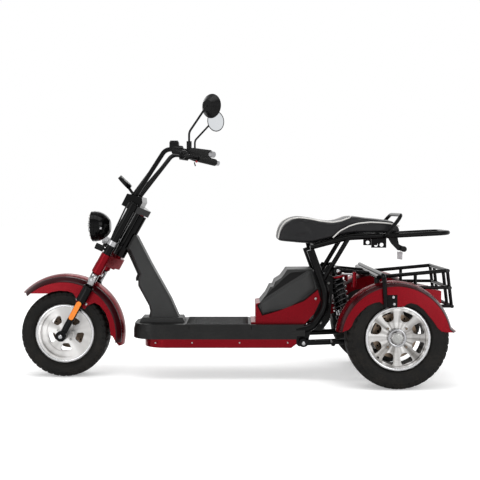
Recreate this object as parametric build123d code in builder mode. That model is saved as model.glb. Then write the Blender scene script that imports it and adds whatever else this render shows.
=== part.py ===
from build123d import *
import math
import os

os.makedirs("parts", exist_ok=True)

# Electric trike: one steered front wheel, a low foot deck, a saddle and two driven rear wheels.
# X points forward, Y to the rider's left, Z up, and the origin is on the floor under the middle.

# Overall layout
wheelbase = 1579.0
front_axle_x = 834.0
rear_axle_x = front_axle_x - wheelbase
overrun = 20.0  # how far a cutting body reaches past what it cuts
running_gap = 0.1  # clearance between a shaft and what turns on it
seat_gap = 0.3  # clearance between a piece and a curved seat
weld = 1.0  # how far joined bodies run into each other

# Front wheel
front_tyre_radius = 213.0
front_tyre_width = 155.0
front_rim_width = 112.0
front_flange_radius = 143.0
front_bead_radius = 127.0
front_barrel_wall = 7.0
flange_wall = 7.0
front_hub_radius = 34.0
front_hub_length = 110.0
front_web_wall = 14.0
front_web_place = 24.0
front_web_step = 5.0
front_plate_radius = 46.0
front_ring_radius = 94.0
front_window_count = 5
front_window_inner = 52.0
front_window_outer = 88.0
front_window_inner_width = 30.0
front_window_outer_width = 64.0
front_window_corner = 10.0
front_window_turn = 54.0
front_axle_radius = 10.0
front_axle_stub = 12.0
front_disc_radius = 92.0
front_disc_wall = 4.0
front_disc_place = 84.0
front_disc_hub = 40.0

# Rear wheels
rear_tyre_radius = 235.0
rear_tyre_width = 145.0
rear_track = 604.0
rear_rim_width = 112.0
rear_flange_radius = 148.0
rear_bead_radius = 134.0
rear_barrel_wall = 6.0
rear_web_wall = 13.0
rear_web_place = 24.0
rear_web_dish = 17.0
rear_flat_radius = 71.0
rear_pad_radius = 104.0
rear_pad_rise = 7.0
rear_pad_step = 5.0
rear_hub_radius = 41.0
rear_hub_rise = 14.0
rear_cap_radius = 28.0
rear_cap_rise = 10.0
rear_cap_sides = 8
rear_spoke_count = 8
rear_window_inner = 78.0
rear_window_outer = 124.0
rear_spoke_inner_width = 22.0
rear_spoke_outer_width = 36.0
rear_window_inner_corner = 22.0
rear_window_outer_corner = 8.0
rear_axle_radius = 14.0
rear_disc_radius = 104.0
rear_disc_wall = 4.0
rear_disc_place = 34.0
rear_disc_hub = 40.0
lug_circle_radius = 60.0
lug_count = 4
lug_radius = 8.0
lug_rise = 8.0
nut_sides = 6

# Tyre section, as shares of the tyre's height above its flange and of its half width
tyre_belly_share = 0.48
tyre_shoulder_height_share = 0.95
tyre_shoulder_width_share = 0.86
tyre_crown_share = 0.72

# Steering head and fork
rake = 29.0
fork_offset = 42.5
fork_spacing = 256.0
head_x = 464.0
head_z = 792.0
head_tube_radius = 30.0
head_tube_bottom = -228.0
head_tube_top = 0.0
stem_radius = 16.0
stem_top = 20.0
stem_boss_radius = 36.0
stem_nut_radius = 14.0
stem_nut_bottom = -302.0
stanchion_radius = 19.0
stanchion_top = 46.0
slider_radius = 24.5
slider_top = -417.0
slider_step = -495.0
slider_low_radius = 16.0
axle_lug_radius = 26.0
axle_lug_width = 44.0
lower_clamp_bottom = -289.0
lower_clamp_top = -236.0
lower_boss_radius = 24.0
collar_bottom = -338.0
collar_radius = 25.0
upper_clamp_bottom = 6.0
upper_clamp_top = 38.0
upper_boss_radius = 27.0
bar_block_width = 210.0
bar_block_top = 74.0
bar_block_forward = 62.0
bar_block_back = 13.0
bar_block_back_top = 64.0
bar_block_peak = 84.0
bar_block_peak_forward = 27.0
bar_block_front = 99.0
bar_block_front_top = 67.0
bar_block_front_low = 97.0
reflector_rise = 191.0
reflector_length = 98.0
reflector_width = 24.0
reflector_wall = 7.0

# Fenders: rises are above the tyre, outlines are in shares of the tyre's radius about its axle
fender_wall = 3.0
fender_side_gap = 7.0
front_fender_half = 92.0
front_fender_drop = 62.0
front_shoulder_rise = 42.0
front_crown_rise = 78.0
front_fender_start = 42.0
front_fender_sweep = 153.0
fender_boss_share = 0.82
fender_boss_radius = 12.0
front_outline_shares = (
    # forward of the axle, above the axle
    (1.6, 0.94), (0.333, 0.94), (0.272, 0.972), (0.103, 1.005), (-0.103, 0.995), (-0.225, 0.953),
    (-0.286, 0.869), (-0.300, 0.723), (-0.493, 0.577), (-0.554, 0.662), (-0.718, 0.732), (-0.840, 0.662),
    (-0.967, 0.498), (-1.047, 0.272), (-1.085, -0.023), (-1.127, -0.042), (-1.249, -0.277), (-1.6, -0.277),
    (-1.6, 1.6), (1.6, 1.6),
)
rear_fender_forward = 13.0
rear_fender_drop = 7.0
rear_skirt_drop = 94.0
rear_shoulder_rise = 12.0
rear_crown_rise = 33.0
rear_fender_start = 0.0
rear_fender_sweep = 163.0
rear_fender_tail = 22.0
rear_lip_length = 40.0
rear_lip_angle = 40.0
rear_outline_shares = (
    # forward of the axle, above the axle
    (1.6, 0.10), (1.294, 0.119), (1.123, 0.128), (1.051, 0.162), (0.970, 0.191), (0.915, 0.255),
    (0.855, 0.400), (0.745, 0.532), (0.617, 0.647), (0.489, 0.706), (0.379, 0.728), (0.234, 0.613),
    (0.030, 0.630), (-0.081, 0.638), (-0.145, 0.685), (-0.217, 0.706), (-0.336, 0.677), (-0.464, 0.583),
    (-0.591, 0.430), (-0.677, 0.319), (-0.740, 0.221), (-0.817, 0.157), (-0.898, 0.140), (-1.106, 0.132),
    (-1.6, 0.132), (-1.6, 1.6), (1.6, 1.6),
)

# Front brake
caliper_length = 86.0
caliper_depth = 46.0
caliper_width = 24.0
caliper_corner = 11.0
caliper_place = 86.0
caliper_rise = 86.0
caliper_behind = 62.0
caliper_arm_radius = 14.0
caliper_disc_gap = 8.0

# Headlamp
lamp_face_x = 702.0
lamp_face_z = 737.5
lamp_radius = 75.0
lamp_depth = 87.0
lamp_tilt = 2.0
lamp_back_radius = 28.0
lamp_waist_share = 0.86
lamp_waist_depth_share = 0.60
lamp_rim = 12.0
lens_wall = 6.0
lens_inset = 5.0
lens_dome = 24.0
lamp_bar_along = -175.0
lamp_bar_forward = 6.0
lamp_bar_radius = 8.0
lamp_bar_ring = 24.0
lamp_bar_height = 24.0
lamp_arm_half = 14.0
lamp_arm_x = 656.0
lamp_arm_low_z = 654.0
lamp_arm_high_z = 696.0
side_lamp_radius = 15.0
side_lamp_y = 118.0
side_lamp_front_x = 669.0
side_lamp_front_z = 648.0
side_lamp_back_x = 632.0
side_lamp_back_z = 632.0
side_lamp_root_x = 598.0
side_lamp_root_z = 624.0
side_lamp_stalk_radius = 6.0

# Handlebar
bar_radius = 11.0
riser_side = 92.0
riser_foot_x = 478.0
riser_foot_z = 888.0
bar_knee_x = 322.0
bar_knee_y = 205.0
bar_knee_z = 1106.0
bar_bend_x = 214.0
bar_bend_y = 248.0
bar_bend_z = 1092.0
bar_end_x = 102.0
bar_end_y = 362.0
bar_end_z = 1070.0
bar_knee_turn = 55.0
bar_bend_turn = 60.0
grip_radius = 17.5
grip_length = 128.0
grip_inset = 8.0
bar_cap_radius = 14.0
bar_cap_length = 14.0
switch_radius = 22.0
switch_length = 42.0
switch_from_bend = 34.0
lever_drop = 44.0
lever_radius = 6.0
# Display
display_x = 543.0
display_z = 955.0
display_lean = 48.0
display_radius = 38.5
display_wall = 20.0
display_stalk_radius = 7.0

# Mirrors, turned inward and back
mirror_x = 103.0
mirror_y = 335.0
mirror_rise = 186.0
mirror_turn = 37.0
mirror_radius = 55.0
mirror_back_radius = 26.0
mirror_depth = 32.0
mirror_glass_wall = 3.0
mirror_glass_inset = 5.0
mirror_boot_x = 210.0
mirror_boot_y = 246.0
mirror_boot_z = 1104.0
mirror_stem_rise = 76.0
mirror_stem_radius = 5.0
mirror_stem_turn = 30.0
mirror_boot_radius = 12.0
mirror_boot_length = 34.0

# Spine, a moulded cover over the down tube, with a flared foot
spine_half = 48.0
spine_edge = 10.0
spine_outline = (
    # forward, up
    (481.0, 691.0), (493.5, 697.5), (533.0, 627.0), (518.0, 618.0), (467.0, 502.0), (475.0, 482.0),
    (475.0, 446.0), (422.0, 347.0), (417.0, 322.0), (422.0, 295.0), (424.0, 268.0), (262.0, 268.0),
    (279.0, 300.0), (314.0, 380.0), (411.0, 554.0),
)
foot_half = 60.0
foot_rise = 24.0
foot_front_x = 468.0
foot_toe_x = 455.0
foot_heel_x = 244.0
foot_ankle_x = 256.0

# Deck
deck_top = 268.0
deck_waist = 236.0
deck_bottom = 198.0
deck_half = 150.0
deck_front = 496.0
deck_back = -338.0
deck_back_bottom = 214.0
deck_back_step = -298.0
deck_nose_turn = 110.0
deck_taper = 12.0
skirt_bottom = 157.0
skirt_front = 440.0
skirt_back = -296.0
skirt_wall = 4.0
skirt_heel_x = -271.0
skirt_heel_z = 176.0
rail_radius = 16.0
rail_side = 90.0
rail_front = 400.0
rail_back = -262.0
mat_wall = 2.5
mat_half = 136.0
mat_front = 239.0
mat_back = -73.0
mat_corner = 10.0

# Battery box and its cover
battery_half = 110.0
cover_half = 105.0
cover_edge = 8.0
cover_outline = (
    # forward, up
    (-108.0, 359.0), (-124.0, 372.0), (-153.0, 408.0), (-173.0, 447.0), (-188.0, 449.0), (-197.0, 472.0),
    (-227.0, 491.0), (-256.0, 531.0), (-378.0, 532.0), (-408.0, 437.0), (-336.0, 378.0), (-210.0, 330.0),
    (-133.0, 307.0),
)
box_outline = (
    (-101.0, 268.0), (-101.0, 366.0), (-250.0, 400.0), (-400.0, 440.0), (-416.0, 384.0), (-384.0, 316.0),
    (-340.0, 268.0),
)
sill_front_x = -79.0
sill_top_z = 276.0
back_panel_half = 95.0
back_panel_outline = (
    (-372.0, 525.0), (-442.0, 509.0), (-481.0, 495.0), (-463.0, 285.0), (-424.0, 232.0), (-366.0, 236.0),
    (-386.0, 316.0), (-410.0, 384.0),
)

# Frame tubes
frame_side = 130.0
frame_tube_radius = 19.0
loop_top_x = -364.0
loop_top_z = 628.0
loop_back_x = -436.0
loop_back_z = 432.0
loop_low_x = -440.0
loop_low_z = 345.0
loop_foot_x = -372.0
loop_foot_z = 252.0
loop_end_x = -296.0
loop_end_z = 241.0
loop_back_turn = 150.0
loop_low_turn = 120.0
loop_foot_turn = 80.0
strut_radius = 11.0
strut_foot_x = -420.0
strut_foot_z = 471.0
strut_top_x = -545.0
strut_top_z = 682.0
shock_bar_x = -493.0
shock_bar_z = 529.0
shock_bar_radius = 11.0
shock_bar_half = 172.0
gusset_wall = 8.0
gusset_half = 24.0
shock_bar_half = 172.0
gusset_wall = 8.0
gusset_half = 24.0
arm_side = 108.0
arm_radius = 9.0

# Seat rails, which run on as the rear carrier
rail_start_x = -364.0
rail_start_z = 638.0
rail_bend_x = -540.0
rail_bend_z = 684.0
carrier_back_x = -1036.0
carrier_back_z = 710.0
carrier_tube_radius = 11.0
carrier_bend_turn = 200.0
carrier_corner_turn = 60.0
bracket_front_x = -656.0
bracket_back_x = -728.0
bracket_bottom_z = 638.0
bracket_wall = 6.0
bracket_hole_radius = 9.5
bracket_hole_spacing = 27.0
bracket_hole_z = 652.0
hanger_y = 60.0
hanger_wall = 6.0
hanger_outline = (
    (-738.0, 700.0), (-792.0, 702.0), (-802.0, 652.0), (-824.0, 640.0), (-824.0, 620.0), (-796.0, 622.0),
    (-764.0, 655.0),
)
spool_x = -823.0
spool_z = 629.0
spool_radius = 14.0
spool_half = 22.0

# Seat
seat_front_x = -208.0
seat_back_x = -800.0
seat_half = 150.0
seat_corner = 40.0
seat_base_z = 650.0
seat_length = seat_front_x - seat_back_x
seat_height = 140.0
seat_top_shares = (
    # along the seat from its front, height above the seat's base
    (0.0, 0.16),
    (0.03, 0.66),
    (0.13, 0.97),
    (0.24, 0.95),
    (0.41, 0.81),
    (0.51, 0.89),
    (0.61, 1.0),
    (0.72, 0.93),
    (0.94, 0.83),
    (0.99, 0.74),
    (1.0, 0.36),
)
seat_bottom_shares = (
    (0.64, 0.40),
    (0.54, 0.33),
    (0.44, 0.215),
    (0.29, 0.03),
    (0.21, 0.04),
    (0.03, 0.11),
)
pan_half = frame_side - carrier_tube_radius
pan_top_shares = ((0.29, 0.03), (0.44, 0.215), (0.54, 0.33), (0.64, 0.40), (0.97, 0.38))
grab_tube_radius = 9.0
grab_foot_x = -718.0
grab_top_x = -797.0
grab_top_z = 795.0
grab_turn = 45.0
grab_foot_turn = 16.0
grab_half = 162.0

# Rear suspension
pivot_x = -329.0
pivot_z = 184.0
swing_side = 156.0
swing_tube_radius = 14.0
swing_knee_x = -543.0
swing_knee_z = 192.0
swing_knee_turn = 220.0
axle_tube_radius = 24.0
axle_tube_half = 214.0
pivot_plate_front_x = -269.0
pivot_plate_back_x = -371.0
pivot_plate_low_z = 162.0
pivot_boss_radius = 20.0
drive_radius = 84.0
drive_half = 84.0
drive_edge = 14.0
shock_low_x = -543.0
shock_low_z = 264.0
shock_side = 156.0
shock_eye_radius = 17.0
shock_eye_width = 22.0
shock_pin_radius = 8.0
shock_body_radius = 15.0
shock_rod_radius = 8.0
spring_radius = 28.0
spring_wire = 9.0
spring_turns = 7
spring_half_turn_share = 0.5
spring_low_share = 0.16
spring_high_share = 0.88
spring_cup_wall = 6.0
shock_lug_wall = 6.0
reservoir_x = -572.0
reservoir_radius = 10.0
reservoir_length = 72.0
reservoir_arm_radius = 5.0
reservoir_arm_share = 0.94
peg_x = -462.0
peg_radius = 10.0
peg_end_y = 250.0

# Stays over the fenders: a cross tube, and a hoop with a plate down each fender
cross_x = -656.0
cross_rise = 17.0
cross_tube_radius = 11.0
cross_bore_radius = 8.5
cross_bore_depth = 40.0
cross_half = 350.0
cross_lug_radius = 12.0
stay_radius = 10.0
stay_x = -673.0
stay_rise = 12.0
stay_foot_x = -682.0
stay_foot_share = 0.62
stay_turn = 30.0
stay_plate_front_x = -675.0
stay_plate_back_x = -735.0
stay_plate_top_share = 0.86
stay_plate_wall = 4.0

# Rack: heights are below or above the cross tube
rack_radius = 9.0
rack_post_radius = 8.0
rack_post_turn = 200.0
rack_half = 181.0
rack_stub = 12.0
rack_front_x = -666.0
rack_front_drop = 13.0
rack_post_x = -858.0
rack_top_x = -1010.0
rack_top_rise = 19.0
rack_mid_x = -1020.0
rack_mid_drop = 62.0
rack_low_x = -1031.0
rack_low_drop = 150.0
rack_inner_half = 92.0
rack_bar_count = 3

# Tail box
tail_front_x = -894.0
tail_back_x = -990.0
tail_half = 150.0
tail_front_rise = 77.0
tail_back_rise = 59.0

# Cables
cable_radius = 4.0
harness_radius = 5.0
harness_side = 24.0
harness_outline = ((528.0, 637.0), (524.0, 616.0), (474.0, 503.0), (482.0, 484.0), (482.0, 470.0))
bar_cable_inset = 20.0
bar_cable_side = 84.0
bar_cable_high = 60.0
bar_cable_high_forward = 78.0
bar_cable_mid = -120.0
bar_cable_mid_forward = 68.0
bar_cable_low_forward = 54.0
bar_cable_turn = 40.0
hose_root = -262.0
hose_root_side = 138.0
hose_knee = -280.0
hose_side = 161.0
hose_turn = 15.0
hose_tail = 30.0
hose_tail_side = 136.0

# Sizes that follow from the ones above
front_fender_skirt = front_tyre_radius - front_fender_drop
front_fender_shoulder = front_tyre_radius + front_shoulder_rise
front_fender_crown = front_tyre_radius + front_crown_rise
rear_fender_half = rear_tyre_width / 2 + fender_side_gap + fender_wall
rear_fender_skirt = rear_tyre_radius - rear_skirt_drop
rear_fender_shoulder = rear_tyre_radius + rear_shoulder_rise
rear_fender_crown = rear_tyre_radius + rear_crown_rise
rear_fender_x = rear_axle_x + rear_fender_forward
rear_fender_z = rear_tyre_radius - rear_fender_drop
cross_z = rear_fender_z + rear_fender_crown + cross_rise
stay_top_z = cross_z + stay_rise
stay_foot_z = rear_tyre_radius * (1 + stay_foot_share)
stay_plate_top_z = rear_tyre_radius * (1 + stay_plate_top_share)
rack_front_z = cross_z - rack_front_drop
rack_top_z = cross_z + rack_top_rise
rack_mid_z = cross_z - rack_mid_drop
rack_low_z = cross_z - rack_low_drop
mirror_z = mirror_boot_z + mirror_rise

# Cables
cable_radius = 4.0
harness_radius = 6.0

lean_sin = math.sin(math.radians(rake))
lean_cos = math.cos(math.radians(rake))


def steer_point(along, forward, side):
    """Point given up the steering axis from its head point, square forward of it and to the left."""
    x = head_x - along * lean_sin + forward * lean_cos
    z = head_z + along * lean_cos + forward * lean_sin
    return (x, side, z)


def steer_plane(along):
    """Plane square to the steering axis: its x points forward, its y to the left."""
    return Plane(origin=steer_point(along, 0, 0), x_dir=(lean_cos, 0, lean_sin), z_dir=(-lean_sin, 0, lean_cos))


def across_plane(x, y, z):
    """Plane through an axle: its x is across the trike, its y is up."""
    return Plane(origin=(x, y, z), x_dir=(0, 1, 0), z_dir=(1, 0, 0))


def side_plane(y):
    """Plane of a side view at a distance from the middle: x forward, y up, facing right."""
    return Plane(origin=(0, y, 0), x_dir=(1, 0, 0), z_dir=(0, -1, 0))


def rod(points, turns, radius):
    """Round rod along straight runs joined by arcs, added to the part at hand."""
    with BuildLine() as route:
        if len(points) > 2:
            FilletPolyline(*points, radius=turns)
        else:
            Line(*points)
    path = route.wires()[0]
    with BuildSketch(Plane(origin=path @ 0, z_dir=path % 0)) as section:
        Circle(radius)
    sweep(sections=section.sketch, path=path)


def side_slab(points, y, half, mode=Mode.ADD):
    """Slab with a side outline, its middle at y, added to the part at hand."""
    with BuildSketch(side_plane(y)) as outline:
        with BuildLine():
            Polyline(*points, close=True)
        make_face()
    extrude(outline.sketch, amount=half, both=True, mode=mode)


def shares_to_points(shares):
    """Side view points of the seat, from shares of its length and height."""
    return [(seat_front_x - along * seat_length, seat_base_z + up * seat_height) for along, up in shares]


def save(part, name):
    part.label = name
    export_step(part, "parts/" + name + ".step")
    print(name, round(part.volume))


def tyre_face(width, radius, rim_width, bead, flange):
    """Half-open section of a tyre: bead, bulging side wall and crown, mirrored about its middle."""
    bead_half = rim_width / 2 - flange_wall - seat_gap
    side_foot = flange + seat_gap
    height = radius - side_foot
    shoulder = (width / 2 * tyre_shoulder_width_share, side_foot + height * tyre_shoulder_height_share)
    crown_drop = radius - shoulder[1]
    quarter = (shoulder[0] / 2, shoulder[1] + crown_drop * tyre_crown_share)
    with BuildSketch() as section:
        with BuildLine():
            Polyline((0, bead), (bead_half, bead), (bead_half, side_foot))
            ThreePointArc((bead_half, side_foot), (width / 2, side_foot + height * tyre_belly_share), shoulder)
            ThreePointArc(shoulder, quarter, (0, radius))
            mirror(about=Plane.YZ)
        make_face()
    return section.sketch


def rim_face(rim_width, bead, flange, barrel_wall):
    """Section of a rim's barrel with a flange at each side."""
    half = rim_width / 2
    seat = half - flange_wall
    floor = bead - barrel_wall
    with BuildSketch() as section:
        with BuildLine():
            Polyline(
                (-half, floor), (-half, flange), (-seat, flange), (-seat, bead),
                (seat, bead), (seat, flange), (half, flange), (half, floor), close=True,
            )
        make_face()
    return section.sketch


def spin(face, x, y, z):
    """Turns a section a full round about the axle at x, y, z."""
    placed = across_plane(x, y, z) * face
    revolve(placed, axis=Axis((x, y, z), (0, 1, 0)))


def drum(x, z, y_from, y_to, radius, mode=Mode.ADD):
    """Round body across the trike, between two distances from the middle."""
    with BuildSketch(Plane(origin=(x, y_from, z), x_dir=(1, 0, 0), z_dir=(0, 1, 0))) as disc:
        Circle(radius)
    extrude(disc.sketch, amount=y_to - y_from, mode=mode)


# Front wheel
with BuildPart() as front_tyre:
    section = tyre_face(front_tyre_width, front_tyre_radius, front_rim_width, front_bead_radius, front_flange_radius)
    spin(section, front_axle_x, 0, front_tyre_radius)
save(front_tyre.part, "front_tyre")

with BuildPart() as front_rim:
    section = rim_face(front_rim_width, front_bead_radius, front_flange_radius, front_barrel_wall)
    spin(section, front_axle_x, 0, front_tyre_radius)
    web_near = front_web_place - front_web_wall / 2
    web_far = front_web_place + front_web_wall / 2
    web_edge = front_bead_radius - front_barrel_wall / 2
    with BuildSketch() as web:
        with BuildLine():
            Polyline(
                (web_near, 0), (web_far + front_web_step, 0), (web_far + front_web_step, front_plate_radius),
                (web_far, front_plate_radius), (web_far, front_ring_radius),
                (web_far + front_web_step, front_ring_radius), (web_far + front_web_step, web_edge),
                (web_near, web_edge), close=True,
            )
        make_face()
    spin(web.sketch, front_axle_x, 0, front_tyre_radius)
    with BuildSketch(side_plane(front_web_place)) as windows:
        with Locations((front_axle_x, front_tyre_radius)):
            with PolarLocations(0, front_window_count, start_angle=front_window_turn):
                Polygon(
                    (front_window_inner, -front_window_inner_width / 2),
                    (front_window_outer, -front_window_outer_width / 2),
                    (front_window_outer, front_window_outer_width / 2),
                    (front_window_inner, front_window_inner_width / 2),
                    align=None,
                )
        fillet(windows.vertices(), front_window_corner)
    extrude(windows.sketch, amount=front_web_wall, both=True, mode=Mode.SUBTRACT)
    drum(front_axle_x, front_tyre_radius, -front_hub_length / 2, front_hub_length / 2, front_hub_radius)
    drum(front_axle_x, front_tyre_radius, -front_disc_place, front_disc_place, front_axle_radius + running_gap,
         mode=Mode.SUBTRACT)
save(front_rim.part, "front_rim")

with BuildPart() as front_disc:
    disc_y = -front_disc_place
    drum(front_axle_x, front_tyre_radius, disc_y, disc_y + front_disc_wall, front_disc_radius)
    drum(front_axle_x, front_tyre_radius, disc_y, -front_hub_length / 2, front_disc_hub)
    drum(front_axle_x, front_tyre_radius, disc_y - overrun, overrun, front_axle_radius + running_gap,
         mode=Mode.SUBTRACT)
save(front_disc.part, "front_disc")

# Rear wheels, the right one the mirror image of the left one
rear_wheel_y = rear_track / 2
web_outer = rear_wheel_y + rear_web_place
web_inner = web_outer - rear_web_wall
disc_inner = rear_wheel_y - rear_disc_place - rear_disc_wall

with BuildPart() as rear_tyre:
    section = tyre_face(rear_tyre_width, rear_tyre_radius, rear_rim_width, rear_bead_radius, rear_flange_radius)
    spin(section, rear_axle_x, rear_wheel_y, rear_tyre_radius)

# A dished web with a step where each spoke meets the barrel, then windows with round inner ends
with BuildPart() as rear_rim:
    section = rim_face(rear_rim_width, rear_bead_radius, rear_flange_radius, rear_barrel_wall)
    spin(section, rear_axle_x, rear_wheel_y, rear_tyre_radius)
    web_edge = rear_bead_radius - rear_barrel_wall / 2
    pad_face = rear_web_place + rear_pad_rise
    rim_face_place = rear_web_place + rear_web_dish
    with BuildSketch() as web:
        with BuildLine():
            Polyline(
                (rear_web_place - rear_web_wall, 0), (rear_web_place, 0), (rear_web_place, rear_flat_radius),
                (pad_face, rear_pad_radius), (pad_face + rear_pad_step, rear_pad_radius),
                (rim_face_place, web_edge), (rim_face_place - rear_web_wall, web_edge),
                (rear_web_place - rear_web_wall, rear_flat_radius), close=True,
            )
        make_face()
    spin(web.sketch, rear_axle_x, rear_wheel_y, rear_tyre_radius)
    pitch_half = math.pi / rear_spoke_count
    inner_gap = 2 * rear_window_inner * math.sin(pitch_half) - rear_spoke_inner_width
    outer_gap = 2 * rear_window_outer * math.sin(pitch_half) - rear_spoke_outer_width
    axle_point = (rear_axle_x, rear_tyre_radius)
    with BuildSketch(side_plane(web_inner)) as windows:
        with Locations(axle_point):
            with PolarLocations(0, rear_spoke_count, start_angle=math.degrees(pitch_half)):
                Polygon(
                    (rear_window_inner, -inner_gap / 2),
                    (rear_window_outer, -outer_gap / 2),
                    (rear_window_outer, outer_gap / 2),
                    (rear_window_inner, inner_gap / 2),
                    align=None,
                )
        fillet(windows.vertices().sort_by_distance(axle_point)[:2 * rear_spoke_count], rear_window_inner_corner)
        fillet(windows.vertices().sort_by_distance(axle_point)[-2 * rear_spoke_count:], rear_window_outer_corner)
    extrude(windows.sketch, amount=rear_web_wall * 2 + rear_web_dish, both=True, mode=Mode.SUBTRACT)
    drum(rear_axle_x, rear_tyre_radius, web_outer, web_outer + rear_hub_rise, rear_hub_radius)
    with BuildSketch(side_plane(web_outer + rear_hub_rise)) as cap:
        with Locations(axle_point):
            RegularPolygon(rear_cap_radius, rear_cap_sides)
    extrude(cap.sketch, amount=-rear_cap_rise)
    with BuildSketch(side_plane(web_outer)) as lugs:
        with Locations(axle_point):
            with PolarLocations(lug_circle_radius, lug_count, start_angle=180 / lug_count):
                RegularPolygon(lug_radius, nut_sides)
    extrude(lugs.sketch, amount=-lug_rise)
    bore = rear_axle_radius + running_gap
    drum(rear_axle_x, rear_tyre_radius, web_inner - overrun, web_outer, bore, mode=Mode.SUBTRACT)

with BuildPart() as rear_disc:
    drum(rear_axle_x, rear_tyre_radius, disc_inner, disc_inner + rear_disc_wall, rear_disc_radius)
    drum(rear_axle_x, rear_tyre_radius, disc_inner, web_inner, rear_disc_hub)
    drum(rear_axle_x, rear_tyre_radius, disc_inner - overrun, web_inner + overrun, bore, mode=Mode.SUBTRACT)

for side, turn in (("left", False), ("right", True)):
    for piece, kind in ((rear_tyre, "rear_tyre_"), (rear_rim, "rear_rim_"), (rear_disc, "rear_disc_")):
        part = piece.part.mirror(Plane.XZ) if turn else piece.part
        save(part, kind + side)

# Steering head
with BuildPart() as head_tube:
    with BuildSketch(steer_plane(head_tube_bottom)):
        Circle(head_tube_radius)
        Circle(stem_radius + running_gap, mode=Mode.SUBTRACT)
    extrude(amount=head_tube_top - head_tube_bottom)
save(head_tube.part, "head_tube")

with BuildPart() as stanchions:
    for side in (-1, 1):
        leg_y = side * fork_spacing / 2
        rod([steer_point(slider_top, fork_offset, leg_y), steer_point(stanchion_top, fork_offset, leg_y)],
            0, stanchion_radius)
save(stanchions.part, "stanchions")

with BuildPart() as lower_clamp:
    with BuildSketch(steer_plane(lower_clamp_bottom)):
        Circle(stem_boss_radius)
        with Locations((fork_offset, fork_spacing / 2), (fork_offset, -fork_spacing / 2)):
            Circle(lower_boss_radius)
        make_hull()
    extrude(amount=lower_clamp_top - lower_clamp_bottom)
    for side in (-1, 1):
        leg_y = side * fork_spacing / 2
        rod([steer_point(collar_bottom, fork_offset, leg_y), steer_point(lower_clamp_bottom, fork_offset, leg_y)],
            0, collar_radius)
    with BuildSketch(steer_plane(stem_nut_bottom)):
        RegularPolygon(stem_nut_radius, nut_sides)
    extrude(amount=lower_clamp_bottom - stem_nut_bottom)
    with BuildSketch(steer_plane(lower_clamp_top)):
        Circle(stem_radius)
    extrude(amount=stem_top - lower_clamp_top)
    add(stanchions.part, mode=Mode.SUBTRACT)
save(lower_clamp.part, "lower_clamp")

with BuildPart() as upper_clamp:
    with BuildSketch(steer_plane(upper_clamp_bottom)):
        Circle(stem_boss_radius)
        with Locations((fork_offset, fork_spacing / 2), (fork_offset, -fork_spacing / 2)):
            Circle(upper_boss_radius)
        make_hull()
    extrude(amount=upper_clamp_top - upper_clamp_bottom)
    block = []
    for along, forward in (
        (upper_clamp_bottom, bar_block_back), (bar_block_back_top, bar_block_back),
        (bar_block_peak, bar_block_peak_forward), (bar_block_front_top, bar_block_front),
        (upper_clamp_bottom, bar_block_front_low),
    ):
        corner = steer_point(along, forward, 0)
        block.append((corner[0], corner[2]))
    side_slab(block, 0, bar_block_width / 2)
    add(stanchions.part, mode=Mode.SUBTRACT)
    add(lower_clamp.part, mode=Mode.SUBTRACT)
save(upper_clamp.part, "upper_clamp")

axle_along = -(front_axle_x - head_x) * lean_sin + (front_tyre_radius - head_z) * lean_cos
leg_y = fork_spacing / 2
with BuildPart() as sliders:
    for side in (-1, 1):
        y = side * leg_y
        rod([steer_point(slider_step, fork_offset, y), steer_point(slider_top, fork_offset, y)], 0, slider_radius)
        rod([steer_point(axle_along, fork_offset, y), steer_point(slider_step + weld, fork_offset, y)],
            0, slider_low_radius)
        y_low = y - axle_lug_width / 2
        drum(front_axle_x, front_tyre_radius, y_low, y_low + axle_lug_width, axle_lug_radius)
    drum(front_axle_x, front_tyre_radius, -leg_y - axle_lug_width / 2 - front_axle_stub,
         leg_y + axle_lug_width / 2 + front_axle_stub, front_axle_radius)
save(sliders.part, "sliders")

with BuildPart() as fork_reflectors:
    for side in (-1, 1):
        y = side * (leg_y + slider_low_radius + reflector_wall / 2)
        top = steer_point(axle_along + reflector_rise, fork_offset, y)
        plate = Plane(origin=top, x_dir=(lean_sin, 0, -lean_cos), z_dir=(0, 1, 0))
        with BuildSketch(plate) as lens:
            with Locations((reflector_length / 2, 0)):
                SlotOverall(reflector_length, reflector_width)
        extrude(lens.sketch, amount=reflector_wall, both=True)
    add(sliders.part, mode=Mode.SUBTRACT)
save(fork_reflectors.part, "fork_reflectors")


def arch_face(half, skirt, shoulder, crown, wall):
    """Section of a fender: two skirts and an arched crown, as thick as its wall."""
    with BuildSketch() as section:
        with BuildLine():
            Polyline((-half, shoulder), (-half, skirt), (half, skirt), (half, shoulder))
            ThreePointArc((-half, shoulder), (0, crown), (half, shoulder))
        make_face()
        with BuildLine():
            inner = half - wall
            Polyline((-inner, shoulder), (-inner, skirt - overrun), (inner, skirt - overrun), (inner, shoulder))
            ThreePointArc((-inner, shoulder), (0, crown - wall), (inner, shoulder))
        make_face(mode=Mode.SUBTRACT)
    return section.sketch


def radial_plane(x, y, z, angle):
    """Plane through an axle at an angle up from forward: its x is across, its y is outward."""
    cos, sin = math.cos(math.radians(angle)), math.sin(math.radians(angle))
    return Plane(origin=(x, y, z), x_dir=(0, 1, 0), z_dir=(sin, 0, -cos))


def about_axle(shares, x, radius):
    """Side view points about an axle, from shares of its tyre's radius."""
    return [(x + forward * radius, radius + up * radius) for forward, up in shares]


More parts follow.
